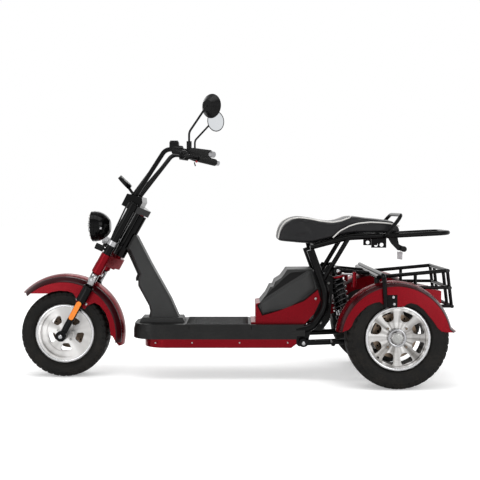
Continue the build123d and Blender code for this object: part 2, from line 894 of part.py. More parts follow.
# Front fender, cut to its side outline, with a boss at each fork leg
with BuildPart() as front_fender:
    section = arch_face(
        front_fender_half, front_fender_skirt, front_fender_shoulder, front_fender_crown, fender_wall
    )
    start = radial_plane(front_axle_x, 0, front_tyre_radius, front_fender_start)
    revolve(start * section, axis=Axis((front_axle_x, 0, front_tyre_radius), (0, -1, 0)),
            revolution_arc=front_fender_sweep)
    side_slab(about_axle(front_outline_shares, front_axle_x, front_tyre_radius), 0,
              front_fender_half + overrun, Mode.INTERSECT)
    for side in (-1, 1):
        foot = steer_point(axle_along + fender_boss_share * front_tyre_radius, fork_offset,
                           side * (front_fender_half - fender_wall / 2))
        with BuildSketch(Plane(origin=foot, x_dir=(lean_cos, 0, lean_sin), z_dir=(0, side, 0))) as boss:
            Circle(fender_boss_radius)
        extrude(boss.sketch, amount=leg_y - front_fender_half)
    add(sliders.part, mode=Mode.SUBTRACT)
save(front_fender.part, "front_fender")

# Brake caliper behind the right fork leg, over the disc's edge
caliper_along = axle_along + caliper_rise
caliper_forward = fork_offset - caliper_behind
with BuildPart() as brake_caliper:
    centre = steer_point(caliper_along, caliper_forward, -caliper_place)
    body = Plane(origin=centre, x_dir=(lean_cos, 0, lean_sin), z_dir=(0, 1, 0))
    with BuildSketch(body) as outline:
        RectangleRounded(caliper_depth, caliper_length, caliper_corner)
    extrude(outline.sketch, amount=caliper_width / 2, both=True)
    rod([centre, steer_point(caliper_along, caliper_forward, -leg_y)], 0, caliper_arm_radius)
    rod([steer_point(caliper_along, caliper_forward, -leg_y), steer_point(caliper_along, fork_offset, -leg_y)],
        0, caliper_arm_radius)
    disc_slot = front_disc_wall + 2 * running_gap
    drum(front_axle_x, front_tyre_radius, -front_disc_place - running_gap,
         -front_disc_place - running_gap + disc_slot, front_disc_radius + caliper_disc_gap, mode=Mode.SUBTRACT)
    add(sliders.part, mode=Mode.SUBTRACT)
save(brake_caliper.part, "brake_caliper")

# Headlamp: a deep bowl with a domed lens, on a bar between the fork legs, and a lamp at each leg
tip_cos, tip_sin = math.cos(math.radians(lamp_tilt)), math.sin(math.radians(lamp_tilt))
lamp_plane = Plane(origin=(lamp_face_x, 0, lamp_face_z), x_dir=(tip_sin, 0, tip_cos), z_dir=(0, 1, 0))
lamp_axis = Axis((lamp_face_x, 0, lamp_face_z), (tip_cos, 0, -tip_sin))
lens_radius = lamp_radius - lens_inset
dome_radius = (lens_radius ** 2 + lens_dome ** 2) / (2 * lens_dome)
dome_turn = math.asin(lens_radius / dome_radius) / 2
with BuildPart() as headlamp:
    with BuildSketch(lamp_plane) as bowl:
        with BuildLine():
            Polyline((0, -lens_wall), (lens_radius, -lens_wall), (lens_radius, 0),
                     (lamp_radius, 0), (lamp_radius, -lamp_rim))
            ThreePointArc((lamp_radius, -lamp_rim),
                          (lamp_radius * lamp_waist_share, -lamp_depth * lamp_waist_depth_share),
                          (lamp_back_radius, -lamp_depth))
            Polyline((lamp_back_radius, -lamp_depth), (0, -lamp_depth), (0, -lens_wall))
        make_face()
    revolve(bowl.sketch, axis=lamp_axis)
save(headlamp.part, "headlamp")

with BuildPart() as headlamp_lens:
    with BuildSketch(lamp_plane) as dome:
        with BuildLine():
            dome_top = (0, lens_dome)
            dome_edge = (lens_radius, 0)
            dome_side = (dome_radius * math.sin(dome_turn), lens_dome - dome_radius * (1 - math.cos(dome_turn)))
            ThreePointArc(dome_edge, dome_side, dome_top)
            Polyline(dome_top, (0, -lens_wall), (lens_radius, -lens_wall), dome_edge)
        make_face()
    revolve(dome.sketch, axis=lamp_axis)
save(headlamp_lens.part, "headlamp_lens")

lamp_bar_offset = fork_offset + lamp_bar_forward
with BuildPart() as lamp_bracket:
    for side in (-1, 1):
        y = side * leg_y
        rod([steer_point(lamp_bar_along - lamp_bar_height / 2, fork_offset, y),
             steer_point(lamp_bar_along + lamp_bar_height / 2, fork_offset, y)], 0, lamp_bar_ring)
    rod([steer_point(lamp_bar_along, lamp_bar_offset, -leg_y), steer_point(lamp_bar_along, lamp_bar_offset, leg_y)],
        0, lamp_bar_radius)
    bar = steer_point(lamp_bar_along, lamp_bar_offset, 0)
    side_slab([(bar[0], bar[2] - lamp_bar_radius), (bar[0], bar[2] + lamp_bar_radius),
               (lamp_arm_x, lamp_arm_high_z), (lamp_arm_x, lamp_arm_low_z)], 0, lamp_arm_half)
    add(stanchions.part, mode=Mode.SUBTRACT)
    add(headlamp.part, mode=Mode.SUBTRACT)
save(lamp_bracket.part, "lamp_bracket")

with BuildPart() as side_lamps:
    for side in (-1, 1):
        y = side * side_lamp_y
        rod([(side_lamp_back_x, y, side_lamp_back_z), (side_lamp_front_x, y, side_lamp_front_z)],
            0, side_lamp_radius)
        rod([(side_lamp_root_x, y, side_lamp_root_z), (side_lamp_back_x, y, side_lamp_back_z)],
            0, side_lamp_stalk_radius)
    add(stanchions.part, mode=Mode.SUBTRACT)
    add(lamp_bracket.part, mode=Mode.SUBTRACT)
save(side_lamps.part, "side_lamps")

# Handlebar: two risers, each a tube that bends out into a grip
bar_routes = {}
for side in (-1, 1):
    bar_routes[side] = [
        (riser_foot_x, side * riser_side, riser_foot_z),
        (bar_knee_x, side * bar_knee_y, bar_knee_z),
        (bar_bend_x, side * bar_bend_y, bar_bend_z),
        (bar_end_x, side * bar_end_y, bar_end_z),
    ]
with BuildPart() as handlebar:
    for side in (-1, 1):
        rod(bar_routes[side], [bar_knee_turn, bar_bend_turn], bar_radius)
        block_top = steer_point(bar_block_top - bar_radius, bar_block_forward, side * riser_side)
        rod([block_top, bar_routes[side][0]], 0, bar_radius)
    add(upper_clamp.part, mode=Mode.SUBTRACT)
save(handlebar.part, "handlebar")


def along_bar(side, from_end):
    """Point on a grip's middle line, at a distance from the bar's end."""
    end, bend = Vector(*bar_routes[side][3]), Vector(*bar_routes[side][2])
    return end + (bend - end).normalized() * from_end


with BuildPart() as grips:
    for side in (-1, 1):
        rod([along_bar(side, grip_inset), along_bar(side, grip_inset + grip_length)], 0, grip_radius)
    add(handlebar.part, mode=Mode.SUBTRACT)
save(grips.part, "grips")

with BuildPart() as bar_ends:
    for side in (-1, 1):
        rod([along_bar(side, -bar_cap_length), along_bar(side, grip_inset)], 0, bar_cap_radius)
    add(handlebar.part, mode=Mode.SUBTRACT)
save(bar_ends.part, "bar_ends")

def along_riser(side, from_bend):
    """Point on the bar's middle line between its bend and its knee."""
    bend, knee = Vector(*bar_routes[side][2]), Vector(*bar_routes[side][1])
    return bend + (knee - bend).normalized() * from_bend


with BuildPart() as bar_controls:
    for side in (-1, 1):
        rod([along_riser(side, switch_from_bend), along_riser(side, switch_from_bend + switch_length)],
            0, switch_radius)
    add(handlebar.part, mode=Mode.SUBTRACT)
save(bar_controls.part, "bar_controls")

with BuildPart() as brake_levers:
    for side in (-1, 1):
        root = along_riser(side, switch_from_bend + switch_length / 2) + Vector(0, side * switch_radius, 0)
        tip = along_bar(side, grip_inset + lever_drop) + Vector(lever_drop + switch_radius, 0, 0)
        rod([root, tip], 0, lever_radius)
    add(bar_controls.part, mode=Mode.SUBTRACT)
    add(handlebar.part, mode=Mode.SUBTRACT)
save(brake_levers.part, "brake_levers")

# Display, a round face tipped back to the rider on a short stalk
face_cos, face_sin = math.cos(math.radians(display_lean)), math.sin(math.radians(display_lean))
face_out = Vector(-face_sin, 0, face_cos)
display_plane = Plane(origin=(display_x, 0, display_z), z_dir=face_out)
with BuildPart() as display:
    with BuildSketch(display_plane) as disc:
        Circle(display_radius)
    extrude(disc.sketch, amount=display_wall / 2, both=True)
    stalk_root = Vector(*steer_point(bar_block_top - bar_radius, bar_block_forward, 0))
    stalk_top = Vector(display_x, 0, display_z)
    rod([stalk_root, stalk_top], 0, display_stalk_radius)
    add(upper_clamp.part, mode=Mode.SUBTRACT)
save(display.part, "display")

# Mirrors on thin stems, their glass turned inward and back
turn_cos, turn_sin = math.cos(math.radians(mirror_turn)), math.sin(math.radians(mirror_turn))


def mirror_plane(side, back):
    """Plane of a mirror, its z toward the glass, a distance behind the glass."""
    out = Vector(-turn_sin, -side * turn_cos, 0)
    origin = Vector(mirror_x, side * mirror_y, mirror_z) - out * back
    return Plane(origin=origin, x_dir=(0, 0, 1), z_dir=out)


with BuildPart() as mirrors:
    for side in (-1, 1):
        boot = Vector(mirror_boot_x, side * mirror_boot_y, mirror_boot_z)
        rod([boot, boot + Vector(0, 0, mirror_stem_rise), mirror_plane(side, mirror_depth - weld).origin],
            mirror_stem_turn, mirror_stem_radius)
        rod([boot - Vector(0, 0, bar_radius), boot + Vector(0, 0, mirror_boot_length)], 0, mirror_boot_radius)
        with BuildSketch(mirror_plane(side, 0)) as rim:
            Circle(mirror_radius)
        with BuildSketch(mirror_plane(side, mirror_depth)) as back:
            Circle(mirror_back_radius)
        loft(sections=[back.sketch, rim.sketch])
        with BuildSketch(mirror_plane(side, 0)) as seat:
            Circle(mirror_radius - mirror_glass_inset)
        extrude(seat.sketch, amount=-mirror_glass_wall, mode=Mode.SUBTRACT)
    add(handlebar.part, mode=Mode.SUBTRACT)
    add(bar_controls.part, mode=Mode.SUBTRACT)
    add(grips.part, mode=Mode.SUBTRACT)
save(mirrors.part, "mirrors")

with BuildPart() as mirror_glass:
    for side in (-1, 1):
        with BuildSketch(mirror_plane(side, 0)) as seat:
            Circle(mirror_radius - mirror_glass_inset)
        extrude(seat.sketch, amount=-mirror_glass_wall)
save(mirror_glass.part, "mirror_glass")

# Spine: a moulded cover that reaches from the head tube down to the deck
with BuildPart() as spine:
    side_slab(spine_outline, 0, spine_half)
    chamfer(spine.edges().group_by(Axis.Y)[0] + spine.edges().group_by(Axis.Y)[-1], spine_edge)
    foot_points = [
        (foot_toe_x, deck_top + foot_rise), (foot_front_x, deck_top), (foot_heel_x, deck_top),
        (foot_ankle_x, deck_top + foot_rise),
    ]
    side_slab(foot_points, 0, foot_half)
    with BuildSketch(steer_plane(head_tube_bottom - overrun)) as head_space:
        Circle(head_tube_radius)
    extrude(head_space.sketch, amount=head_tube_top - head_tube_bottom + overrun, mode=Mode.SUBTRACT)
save(spine.part, "spine")

# Deck: a tray with a round nose and tapered edge, a mat on it, and a skirt below it
deck_length = deck_front - deck_back
with BuildPart() as deck_tray:
    with BuildSketch(Plane.XY.offset(deck_waist)) as plan:
        with Locations(((deck_front + deck_back) / 2, 0)):
            Rectangle(deck_length, deck_half * 2)
            fillet(plan.vertices().group_by(Axis.X)[-1], deck_nose_turn)
    extrude(plan.sketch, amount=deck_bottom - deck_waist)
    extrude(plan.sketch, amount=deck_top - deck_waist, taper=deck_taper)
    side_slab([
        (deck_back_step, deck_bottom - overrun), (deck_back_step, deck_back_bottom),
        (deck_back - overrun, deck_back_bottom), (deck_back - overrun, deck_bottom - overrun),
    ], 0, deck_half + overrun, Mode.SUBTRACT)
save(deck_tray.part, "deck_tray")

with BuildPart() as foot_mat:
    with BuildSketch(Plane.XY.offset(deck_top)):
        with Locations(((mat_front + mat_back) / 2, 0)):
            RectangleRounded(mat_front - mat_back, mat_half * 2, mat_corner)
    extrude(amount=mat_wall)
save(foot_mat.part, "foot_mat")

skirt_length = skirt_front - skirt_back
with BuildPart() as deck_skirt:
    with BuildSketch(Plane.XY.offset(skirt_bottom)) as plan:
        with Locations(((skirt_front + skirt_back) / 2, 0)):
            Rectangle(skirt_length, deck_half * 2)
            fillet(plan.vertices().group_by(Axis.X)[-1], deck_nose_turn)
            offset(amount=-skirt_wall, mode=Mode.SUBTRACT)
    extrude(amount=deck_bottom - skirt_bottom)
    side_slab([
        (skirt_heel_x, skirt_bottom - weld), (skirt_back - weld, skirt_heel_z), (skirt_back - overrun, skirt_heel_z),
        (skirt_back - overrun, skirt_bottom - weld),
    ], 0, deck_half + overrun, Mode.SUBTRACT)
save(deck_skirt.part, "deck_skirt")

# Battery box and the cover over it
with BuildPart() as battery_cover:
    side_slab(cover_outline, 0, cover_half)
    chamfer(battery_cover.edges().group_by(Axis.Y)[0] + battery_cover.edges().group_by(Axis.Y)[-1], cover_edge)
save(battery_cover.part, "battery_cover")

with BuildPart() as battery_box:
    side_slab(box_outline, 0, battery_half)
    side_slab([(sill_front_x, deck_top), (sill_front_x, sill_top_z), (box_outline[0][0] - weld, sill_top_z),
               (box_outline[0][0] - weld, deck_top)], 0, battery_half)
    side_slab(cover_outline, 0, battery_half + overrun, Mode.SUBTRACT)
save(battery_box.part, "battery_box")

with BuildPart() as back_panel:
    side_slab(back_panel_outline, 0, back_panel_half)
    add(battery_cover.part, mode=Mode.SUBTRACT)
    add(battery_box.part, mode=Mode.SUBTRACT)
    add(deck_tray.part, mode=Mode.SUBTRACT)
save(back_panel.part, "back_panel")

# Rear carrier: the seat rails run back and close in a loop
carrier_slope = (carrier_back_z - rail_bend_z) / (carrier_back_x - rail_bend_x)
with BuildPart() as rear_carrier:
    route = []
    for x, z in ((rail_start_x, rail_start_z), (rail_bend_x, rail_bend_z), (carrier_back_x, carrier_back_z)):
        route.append((x, frame_side, z))
    route = route + [(x, -y, z) for x, y, z in reversed(route)]
    turns = [carrier_bend_turn, carrier_corner_turn, carrier_corner_turn, carrier_bend_turn]
    rod(route, turns, carrier_tube_radius)
    for side in (-1, 1):
        y = side * frame_side
        top = [rail_bend_z + carrier_slope * (x - rail_bend_x) for x in (bracket_front_x, bracket_back_x)]
        side_slab([(bracket_front_x, top[0]), (bracket_back_x, top[1]), (bracket_back_x, bracket_bottom_z),
                   (bracket_front_x, bracket_bottom_z)], y, bracket_wall / 2)
        hole_x = (bracket_front_x + bracket_back_x) / 2
        with BuildSketch(side_plane(y)) as holes:
            with Locations((hole_x, bracket_hole_z)):
                with GridLocations(bracket_hole_spacing, 0, 2, 1):
                    Circle(bracket_hole_radius)
        extrude(holes.sketch, amount=bracket_wall, both=True, mode=Mode.SUBTRACT)
save(rear_carrier.part, "rear_carrier")

# Main frame: deck rails, the loops behind the battery, seat struts and the upper shock bar
with BuildPart() as main_frame:
    for side in (-1, 1):
        y = side * frame_side
        rod([
            (loop_top_x, y, loop_top_z), (loop_back_x, y, loop_back_z), (loop_low_x, y, loop_low_z),
            (loop_foot_x, y, loop_foot_z), (loop_end_x, y, loop_end_z),
        ], [loop_back_turn, loop_low_turn, loop_foot_turn], frame_tube_radius)
        rod([(strut_foot_x, y, strut_foot_z), (strut_top_x, y, strut_top_z)], 0, strut_radius)
        side_slab([
            (strut_foot_x, strut_foot_z + gusset_half * 2), (strut_foot_x - gusset_half, shock_bar_z + gusset_half),
            (shock_bar_x, shock_bar_z + gusset_half / 2), (shock_bar_x, shock_bar_z - gusset_half / 2),
        ], y, gusset_wall / 2)
        arm_y = side * arm_side
        rod([(shock_bar_x, arm_y, shock_bar_z), (cross_x, arm_y, cross_z)], 0, arm_radius)
        rod([(rail_back, side * rail_side, deck_bottom - rail_radius),
             (rail_front, side * rail_side, deck_bottom - rail_radius)], 0, rail_radius)
        side_slab([
            (pivot_plate_front_x, loop_end_z), (pivot_plate_front_x, deck_bottom), (pivot_x + pivot_boss_radius,
             pivot_plate_low_z), (pivot_x - pivot_boss_radius, pivot_plate_low_z), (pivot_plate_back_x, loop_foot_z),
        ], y, gusset_wall / 2)
    rod([(shock_bar_x, -shock_bar_half, shock_bar_z), (shock_bar_x, shock_bar_half, shock_bar_z)],
        0, shock_bar_radius)
    rod([(loop_back_x, -frame_side, loop_back_z), (loop_back_x, frame_side, loop_back_z)], 0, strut_radius)
    add(rear_carrier.part, mode=Mode.SUBTRACT)
    add(deck_tray.part, mode=Mode.SUBTRACT)
    add(deck_skirt.part, mode=Mode.SUBTRACT)
    add(back_panel.part, mode=Mode.SUBTRACT)
    drum(pivot_x, pivot_z, -swing_side, swing_side, swing_tube_radius, Mode.SUBTRACT)


# Saddle on a moulded pan between the rails
with BuildPart() as seat_cushion:
    with BuildSketch(side_plane(0)) as profile:
        with BuildLine():
            Polyline(*shares_to_points(seat_top_shares + seat_bottom_shares), close=True)
        make_face()
    extrude(profile.sketch, amount=seat_half, both=True)
    with BuildSketch(Plane.XY.offset(seat_base_z - overrun)) as plan:
        with Locations(((seat_front_x + seat_back_x) / 2, 0)):
            RectangleRounded(seat_length, seat_half * 2, seat_corner)
    extrude(plan.sketch, amount=seat_height + overrun * 2, mode=Mode.INTERSECT)
    add(rear_carrier.part, mode=Mode.SUBTRACT)
save(seat_cushion.part, "seat_cushion")

with BuildPart() as seat_pan:
    pan_points = shares_to_points(pan_top_shares)
    pan_back_x = pan_points[-1][0]
    side_slab(pan_points + [(pan_back_x, rail_bend_z + carrier_slope * (pan_back_x - rail_bend_x)),
              (rail_bend_x, rail_bend_z), (pan_points[0][0], rail_start_z)], 0, pan_half)
    add(seat_cushion.part, mode=Mode.SUBTRACT)
save(seat_pan.part, "seat_pan")

with BuildPart() as rear_hanger:
    side_slab(hanger_outline, hanger_y, hanger_wall / 2)
    drum(spool_x, spool_z, hanger_y - spool_half, hanger_y + spool_half, spool_radius)
    add(seat_pan.part, mode=Mode.SUBTRACT)
    add(seat_cushion.part, mode=Mode.SUBTRACT)
save(rear_hanger.part, "rear_hanger")

with BuildPart() as grab_rail:
    foot_z = rail_bend_z + (grab_foot_x - rail_bend_x) * carrier_slope
    grab_points = [
        (grab_foot_x, frame_side, foot_z), (grab_foot_x, grab_half, foot_z), (grab_top_x, grab_half, grab_top_z),
    ]
    turns = [grab_foot_turn, grab_turn, grab_turn, grab_foot_turn]
    rod(grab_points + [(x, -y, z) for x, y, z in reversed(grab_points)], turns, grab_tube_radius)
    add(seat_cushion.part, mode=Mode.SUBTRACT)
    add(rear_carrier.part, mode=Mode.SUBTRACT)
save(grab_rail.part, "grab_rail")

# Rear suspension: a swinging fork with the axle tube and the round drive housing
with BuildPart() as swingarm:
    drum(rear_axle_x, rear_tyre_radius, -drive_half, drive_half, drive_radius)
    fillet(swingarm.edges().filter_by(GeomType.CIRCLE), drive_edge)
    for side in (-1, 1):
        y = side * swing_side
        rod([(pivot_x, y, pivot_z), (swing_knee_x, y, swing_knee_z), (rear_axle_x, y, rear_tyre_radius)],
            swing_knee_turn, swing_tube_radius)
        drum(pivot_x, pivot_z, y - swing_tube_radius, y + swing_tube_radius, pivot_boss_radius)
        side_slab([
            (shock_low_x + shock_eye_radius, swing_knee_z), (shock_low_x + shock_pin_radius, shock_low_z),
            (shock_low_x - shock_pin_radius, shock_low_z), (shock_low_x - shock_eye_radius * 2, swing_knee_z),
        ], y - shock_eye_width / 2 - shock_lug_wall / 2, shock_lug_wall / 2)
        side_slab([
            (shock_low_x + shock_eye_radius, swing_knee_z), (shock_low_x + shock_pin_radius, shock_low_z),
            (shock_low_x - shock_pin_radius, shock_low_z), (shock_low_x - shock_eye_radius * 2, swing_knee_z),
        ], y + shock_eye_width / 2 + shock_lug_wall / 2, shock_lug_wall / 2)
        drum(shock_low_x, shock_low_z, y - shock_eye_width, y + shock_eye_width, shock_pin_radius)
        peg = sorted((y, side * peg_end_y))
        drum(peg_x, swing_knee_z, peg[0], peg[1], peg_radius)
    rod([(pivot_x, -swing_side, pivot_z), (pivot_x, swing_side, pivot_z)], 0, swing_tube_radius)
    drum(rear_axle_x, rear_tyre_radius, -axle_tube_half, axle_tube_half, axle_tube_radius)
    drum(rear_axle_x, rear_tyre_radius, -web_outer + running_gap, web_outer - running_gap, rear_axle_radius)
save(swingarm.part, "swingarm")

with BuildPart() as shock_absorbers:
    for side in (-1, 1):
        y = side * shock_side
        half = shock_eye_width / 2
        low, high = Vector(shock_low_x, y, shock_low_z), Vector(shock_bar_x, y, shock_bar_z)
        rod([low, low + (high - low) * spring_high_share], 0, shock_body_radius)
        rod([low, high], 0, shock_rod_radius)
        drum(shock_low_x, shock_low_z, y - half, y + half, shock_eye_radius)
        drum(shock_bar_x, shock_bar_z, y - half, y + half, shock_eye_radius)
        unit = (high - low).normalized()
        for share, way in ((spring_low_share, -1), (spring_high_share, 1)):
            seat = low + (high - low) * share
            rod([seat, seat + unit * spring_cup_wall * way], 0, spring_radius)
        neck = low + (high - low) * reservoir_arm_share
        rod([neck, Vector(reservoir_x, neck.Y, neck.Z)], 0, reservoir_arm_radius)
    add(swingarm.part, mode=Mode.SUBTRACT)
    add(main_frame.part, mode=Mode.SUBTRACT)
save(shock_absorbers.part, "shock_absorbers")

with BuildPart() as shock_springs:
    for side in (-1, 1):
        y = side * shock_side
        low, high = Vector(shock_low_x, y, shock_low_z), Vector(shock_bar_x, y, shock_bar_z)
        foot, top = low + (high - low) * spring_low_share, low + (high - low) * spring_high_share
        span = (top - foot).length
        pitch = span / spring_turns
        along = Plane(origin=foot, x_dir=(0, 1, 0), z_dir=Vector(0, 1, 0).cross(top - foot))
        with BuildSketch(along) as wave:
            points = []
            for turn in range(spring_turns):
                points.append((spring_radius - spring_wire, turn * pitch))
                points.append((spring_radius, (turn + spring_half_turn_share) * pitch))
            points.append((spring_radius - spring_wire, span))
            with BuildLine():
                Polyline((shock_body_radius, 0), *points, (shock_body_radius, span), close=True)
            make_face()
        revolve(wave.sketch, axis=Axis(foot, top - foot))
save(shock_springs.part, "shock_springs")

with BuildPart() as shock_reservoirs:
    for side in (-1, 1):
        arm_z = shock_low_z + (shock_bar_z - shock_low_z) * reservoir_arm_share
        top = Vector(reservoir_x, side * shock_side, arm_z + reservoir_radius)
        rod([top, top - Vector(0, 0, reservoir_length)], 0, reservoir_radius)
    add(shock_absorbers.part, mode=Mode.SUBTRACT)
save(shock_reservoirs.part, "shock_reservoirs")

# Rear fenders, each an arch over its wheel with a flipped tail, cut to its side outline
with BuildPart() as rear_fender:
    section = arch_face(
        rear_fender_half, rear_fender_skirt, rear_fender_shoulder, rear_fender_crown, fender_wall
    )
    start = radial_plane(rear_fender_x, rear_wheel_y, rear_fender_z, rear_fender_start)
    revolve(start * section, axis=Axis((rear_fender_x, rear_wheel_y, rear_fender_z), (0, -1, 0)),
            revolution_arc=rear_fender_sweep)
    end = radial_plane(rear_fender_x, rear_wheel_y, rear_fender_z, rear_fender_start + rear_fender_sweep)
    extrude(end * section, amount=-rear_fender_tail)
    lip_way = (-math.cos(math.radians(rear_lip_angle)), 0, -math.sin(math.radians(rear_lip_angle)))
    extrude(end.offset(-rear_fender_tail) * section, amount=rear_lip_length, dir=lip_way)
    side_slab(about_axle(rear_outline_shares, rear_axle_x, rear_tyre_radius), rear_wheel_y,
              rear_fender_half + overrun, Mode.INTERSECT)

right_fender = rear_fender.part.mirror(Plane.XZ)
save(right_fender, "rear_fender_right")
save(rear_fender.part, "rear_fender_left")

# Stays: one cross tube, and a hoop with a plate down each fender
stay_y = rear_wheel_y + rear_fender_half + running_gap + stay_radius
with BuildPart() as fender_stays:
    rod([(cross_x, 0, cross_z), (cross_x, cross_half, cross_z)], 0, cross_tube_radius)
    rod([(stay_foot_x, stay_y, stay_foot_z), (stay_x, stay_y, stay_top_z), (stay_x, 0, stay_top_z)],
        stay_turn, stay_radius)
    plate_y = rear_wheel_y + rear_fender_half + running_gap + stay_plate_wall / 2
    side_slab([(stay_plate_front_x, stay_plate_top_z), (stay_plate_back_x, stay_plate_top_z),
               (stay_plate_back_x, stay_foot_z), (stay_plate_front_x, stay_foot_z)], plate_y, stay_plate_wall / 2)
    crown_z = rear_fender_z + math.sqrt(rear_fender_crown ** 2 - (cross_x - rear_fender_x) ** 2)
    rod([(cross_x, rear_wheel_y, cross_z), (cross_x, rear_wheel_y, crown_z - fender_wall)], 0, cross_lug_radius)
    drum(cross_x, cross_z, cross_half - cross_bore_depth, cross_half, cross_bore_radius, Mode.SUBTRACT)
    add(rear_fender.part, mode=Mode.SUBTRACT)
    mirror(about=Plane.XZ)
save(fender_stays.part, "fender_stays")

with BuildPart() as frame_tubes:
    add(main_frame.part)
    add(fender_stays.part, mode=Mode.SUBTRACT)
save(frame_tubes.part, "main_frame")

# Rack of round rod behind the seat, its rails ending in stubs
with BuildPart() as rack:
    for side in (-1, 1):
        y = side * rack_half
        rod([(rack_front_x, y, rack_front_z), (rack_top_x, y, rack_top_z)], 0, rack_radius)
        rod([(rack_post_x, y, rack_mid_z), (rack_mid_x, y, rack_mid_z)], 0, rack_post_radius)
        rod([(rack_post_x, y, rack_low_z), (rack_low_x, y, rack_low_z)], 0, rack_post_radius)
        slope = (rack_top_z - rack_front_z) / (rack_top_x - rack_front_x)
        post_top = rack_front_z + slope * (rack_post_x - rack_front_x)
        rod([(rack_post_x, y, rack_low_z), (rack_post_x, y, post_top)], 0, rack_post_radius)
        for across in (y, side * rack_inner_half):
            rod([(rack_top_x, across, rack_top_z), (rack_mid_x, across, rack_mid_z),
                 (rack_low_x, across, rack_low_z)], rack_post_turn, rack_post_radius)
    for x, z in ((rack_top_x, rack_top_z), (rack_mid_x, rack_mid_z), (rack_low_x, rack_low_z)):
        rod([(x, -rack_half - rack_stub, z), (x, rack_half + rack_stub, z)], 0, rack_radius)
    for bar in range(rack_bar_count):
        x = rack_post_x + (rack_low_x - rack_post_x) * bar / rack_bar_count
        rod([(x, -rack_half, rack_low_z), (x, rack_half, rack_low_z)], 0, rack_radius)
    add(fender_stays.part, mode=Mode.SUBTRACT)
save(rack.part, "rack")

tail_bottom_z = rack_low_z + rack_radius
with BuildPart() as tail_box:
    side_slab([(tail_front_x, tail_bottom_z), (tail_front_x, tail_bottom_z + tail_front_rise),
               (tail_back_x, tail_bottom_z + tail_back_rise), (tail_back_x, tail_bottom_z)], 0, tail_half)
save(tail_box.part, "tail_box")

# Cables: two along the spine, one down from each switch, and the hose to the front caliper
with BuildPart() as wiring_harness:
    for side in (-1, 1):
        rod([(x, side * harness_side, z) for x, z in harness_outline], harness_radius * 2, harness_radius)
    add(spine.part, mode=Mode.SUBTRACT)
    add(head_tube.part, mode=Mode.SUBTRACT)
save(wiring_harness.part, "wiring_harness")

with BuildPart() as bar_cables:
    for side in (-1, 1):
        inward = Vector(0, -side * bar_cable_inset, 0)
        y = side * bar_cable_side
        rod([
            along_riser(side, switch_from_bend + switch_length) + inward, Vector(*bar_routes[side][1]) + inward,
            Vector(*steer_point(bar_cable_high, bar_cable_high_forward, y)),
            Vector(*steer_point(bar_cable_mid, bar_cable_mid_forward, y)),
            Vector(*steer_point(lower_clamp_top, bar_cable_low_forward, y)),
        ], bar_cable_turn, cable_radius)
    add(upper_clamp.part, mode=Mode.SUBTRACT)
    add(lower_clamp.part, mode=Mode.SUBTRACT)
    add(bar_controls.part, mode=Mode.SUBTRACT)
    add(handlebar.part, mode=Mode.SUBTRACT)
save(bar_cables.part, "bar_cables")

with BuildPart() as brake_hose:
    rod([
        Vector(*steer_point(hose_root, fork_offset, -hose_root_side)),
        Vector(*steer_point(hose_knee, fork_offset, -hose_side)),
        Vector(*steer_point(slider_step, fork_offset, -hose_side)),
        Vector(*steer_point(caliper_along + hose_tail, caliper_forward, -hose_side)),
        Vector(*steer_point(caliper_along, caliper_forward, -hose_tail_side)),
    ], hose_turn, cable_radius)
    add(stanchions.part, mode=Mode.SUBTRACT)
    add(lower_clamp.part, mode=Mode.SUBTRACT)
    add(brake_caliper.part, mode=Mode.SUBTRACT)
save(brake_hose.part, "brake_hose")
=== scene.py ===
import math

import bmesh
import bpy
import numpy as np
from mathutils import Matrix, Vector


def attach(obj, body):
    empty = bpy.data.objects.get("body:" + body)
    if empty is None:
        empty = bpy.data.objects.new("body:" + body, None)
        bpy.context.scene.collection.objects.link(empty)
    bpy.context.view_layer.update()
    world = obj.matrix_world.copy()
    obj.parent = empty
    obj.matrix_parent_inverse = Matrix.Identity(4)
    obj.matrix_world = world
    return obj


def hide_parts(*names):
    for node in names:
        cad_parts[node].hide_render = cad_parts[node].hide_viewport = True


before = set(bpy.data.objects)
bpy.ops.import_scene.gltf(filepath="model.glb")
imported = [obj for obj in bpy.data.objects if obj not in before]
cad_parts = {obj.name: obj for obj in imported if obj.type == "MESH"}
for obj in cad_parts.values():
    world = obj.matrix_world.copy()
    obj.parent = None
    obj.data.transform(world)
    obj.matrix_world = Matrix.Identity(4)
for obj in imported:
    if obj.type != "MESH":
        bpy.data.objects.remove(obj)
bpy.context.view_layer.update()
print("frame loaded")

# Points are (x, y, z) in metres: x forward, y to the rider's left, z up from the floor.
# These places of the CAD are shared by several pieces; the right side mirrors the left.
frontAxle = (0.834, 0.0, 0.213)
rearAxle = (-0.745, 0.302, 0.235)
shockFoot = (-0.543, 0.156, 0.264)
shockTop = (-0.493, 0.156, 0.529)
sides = {"Left": 1, "Right": -1}

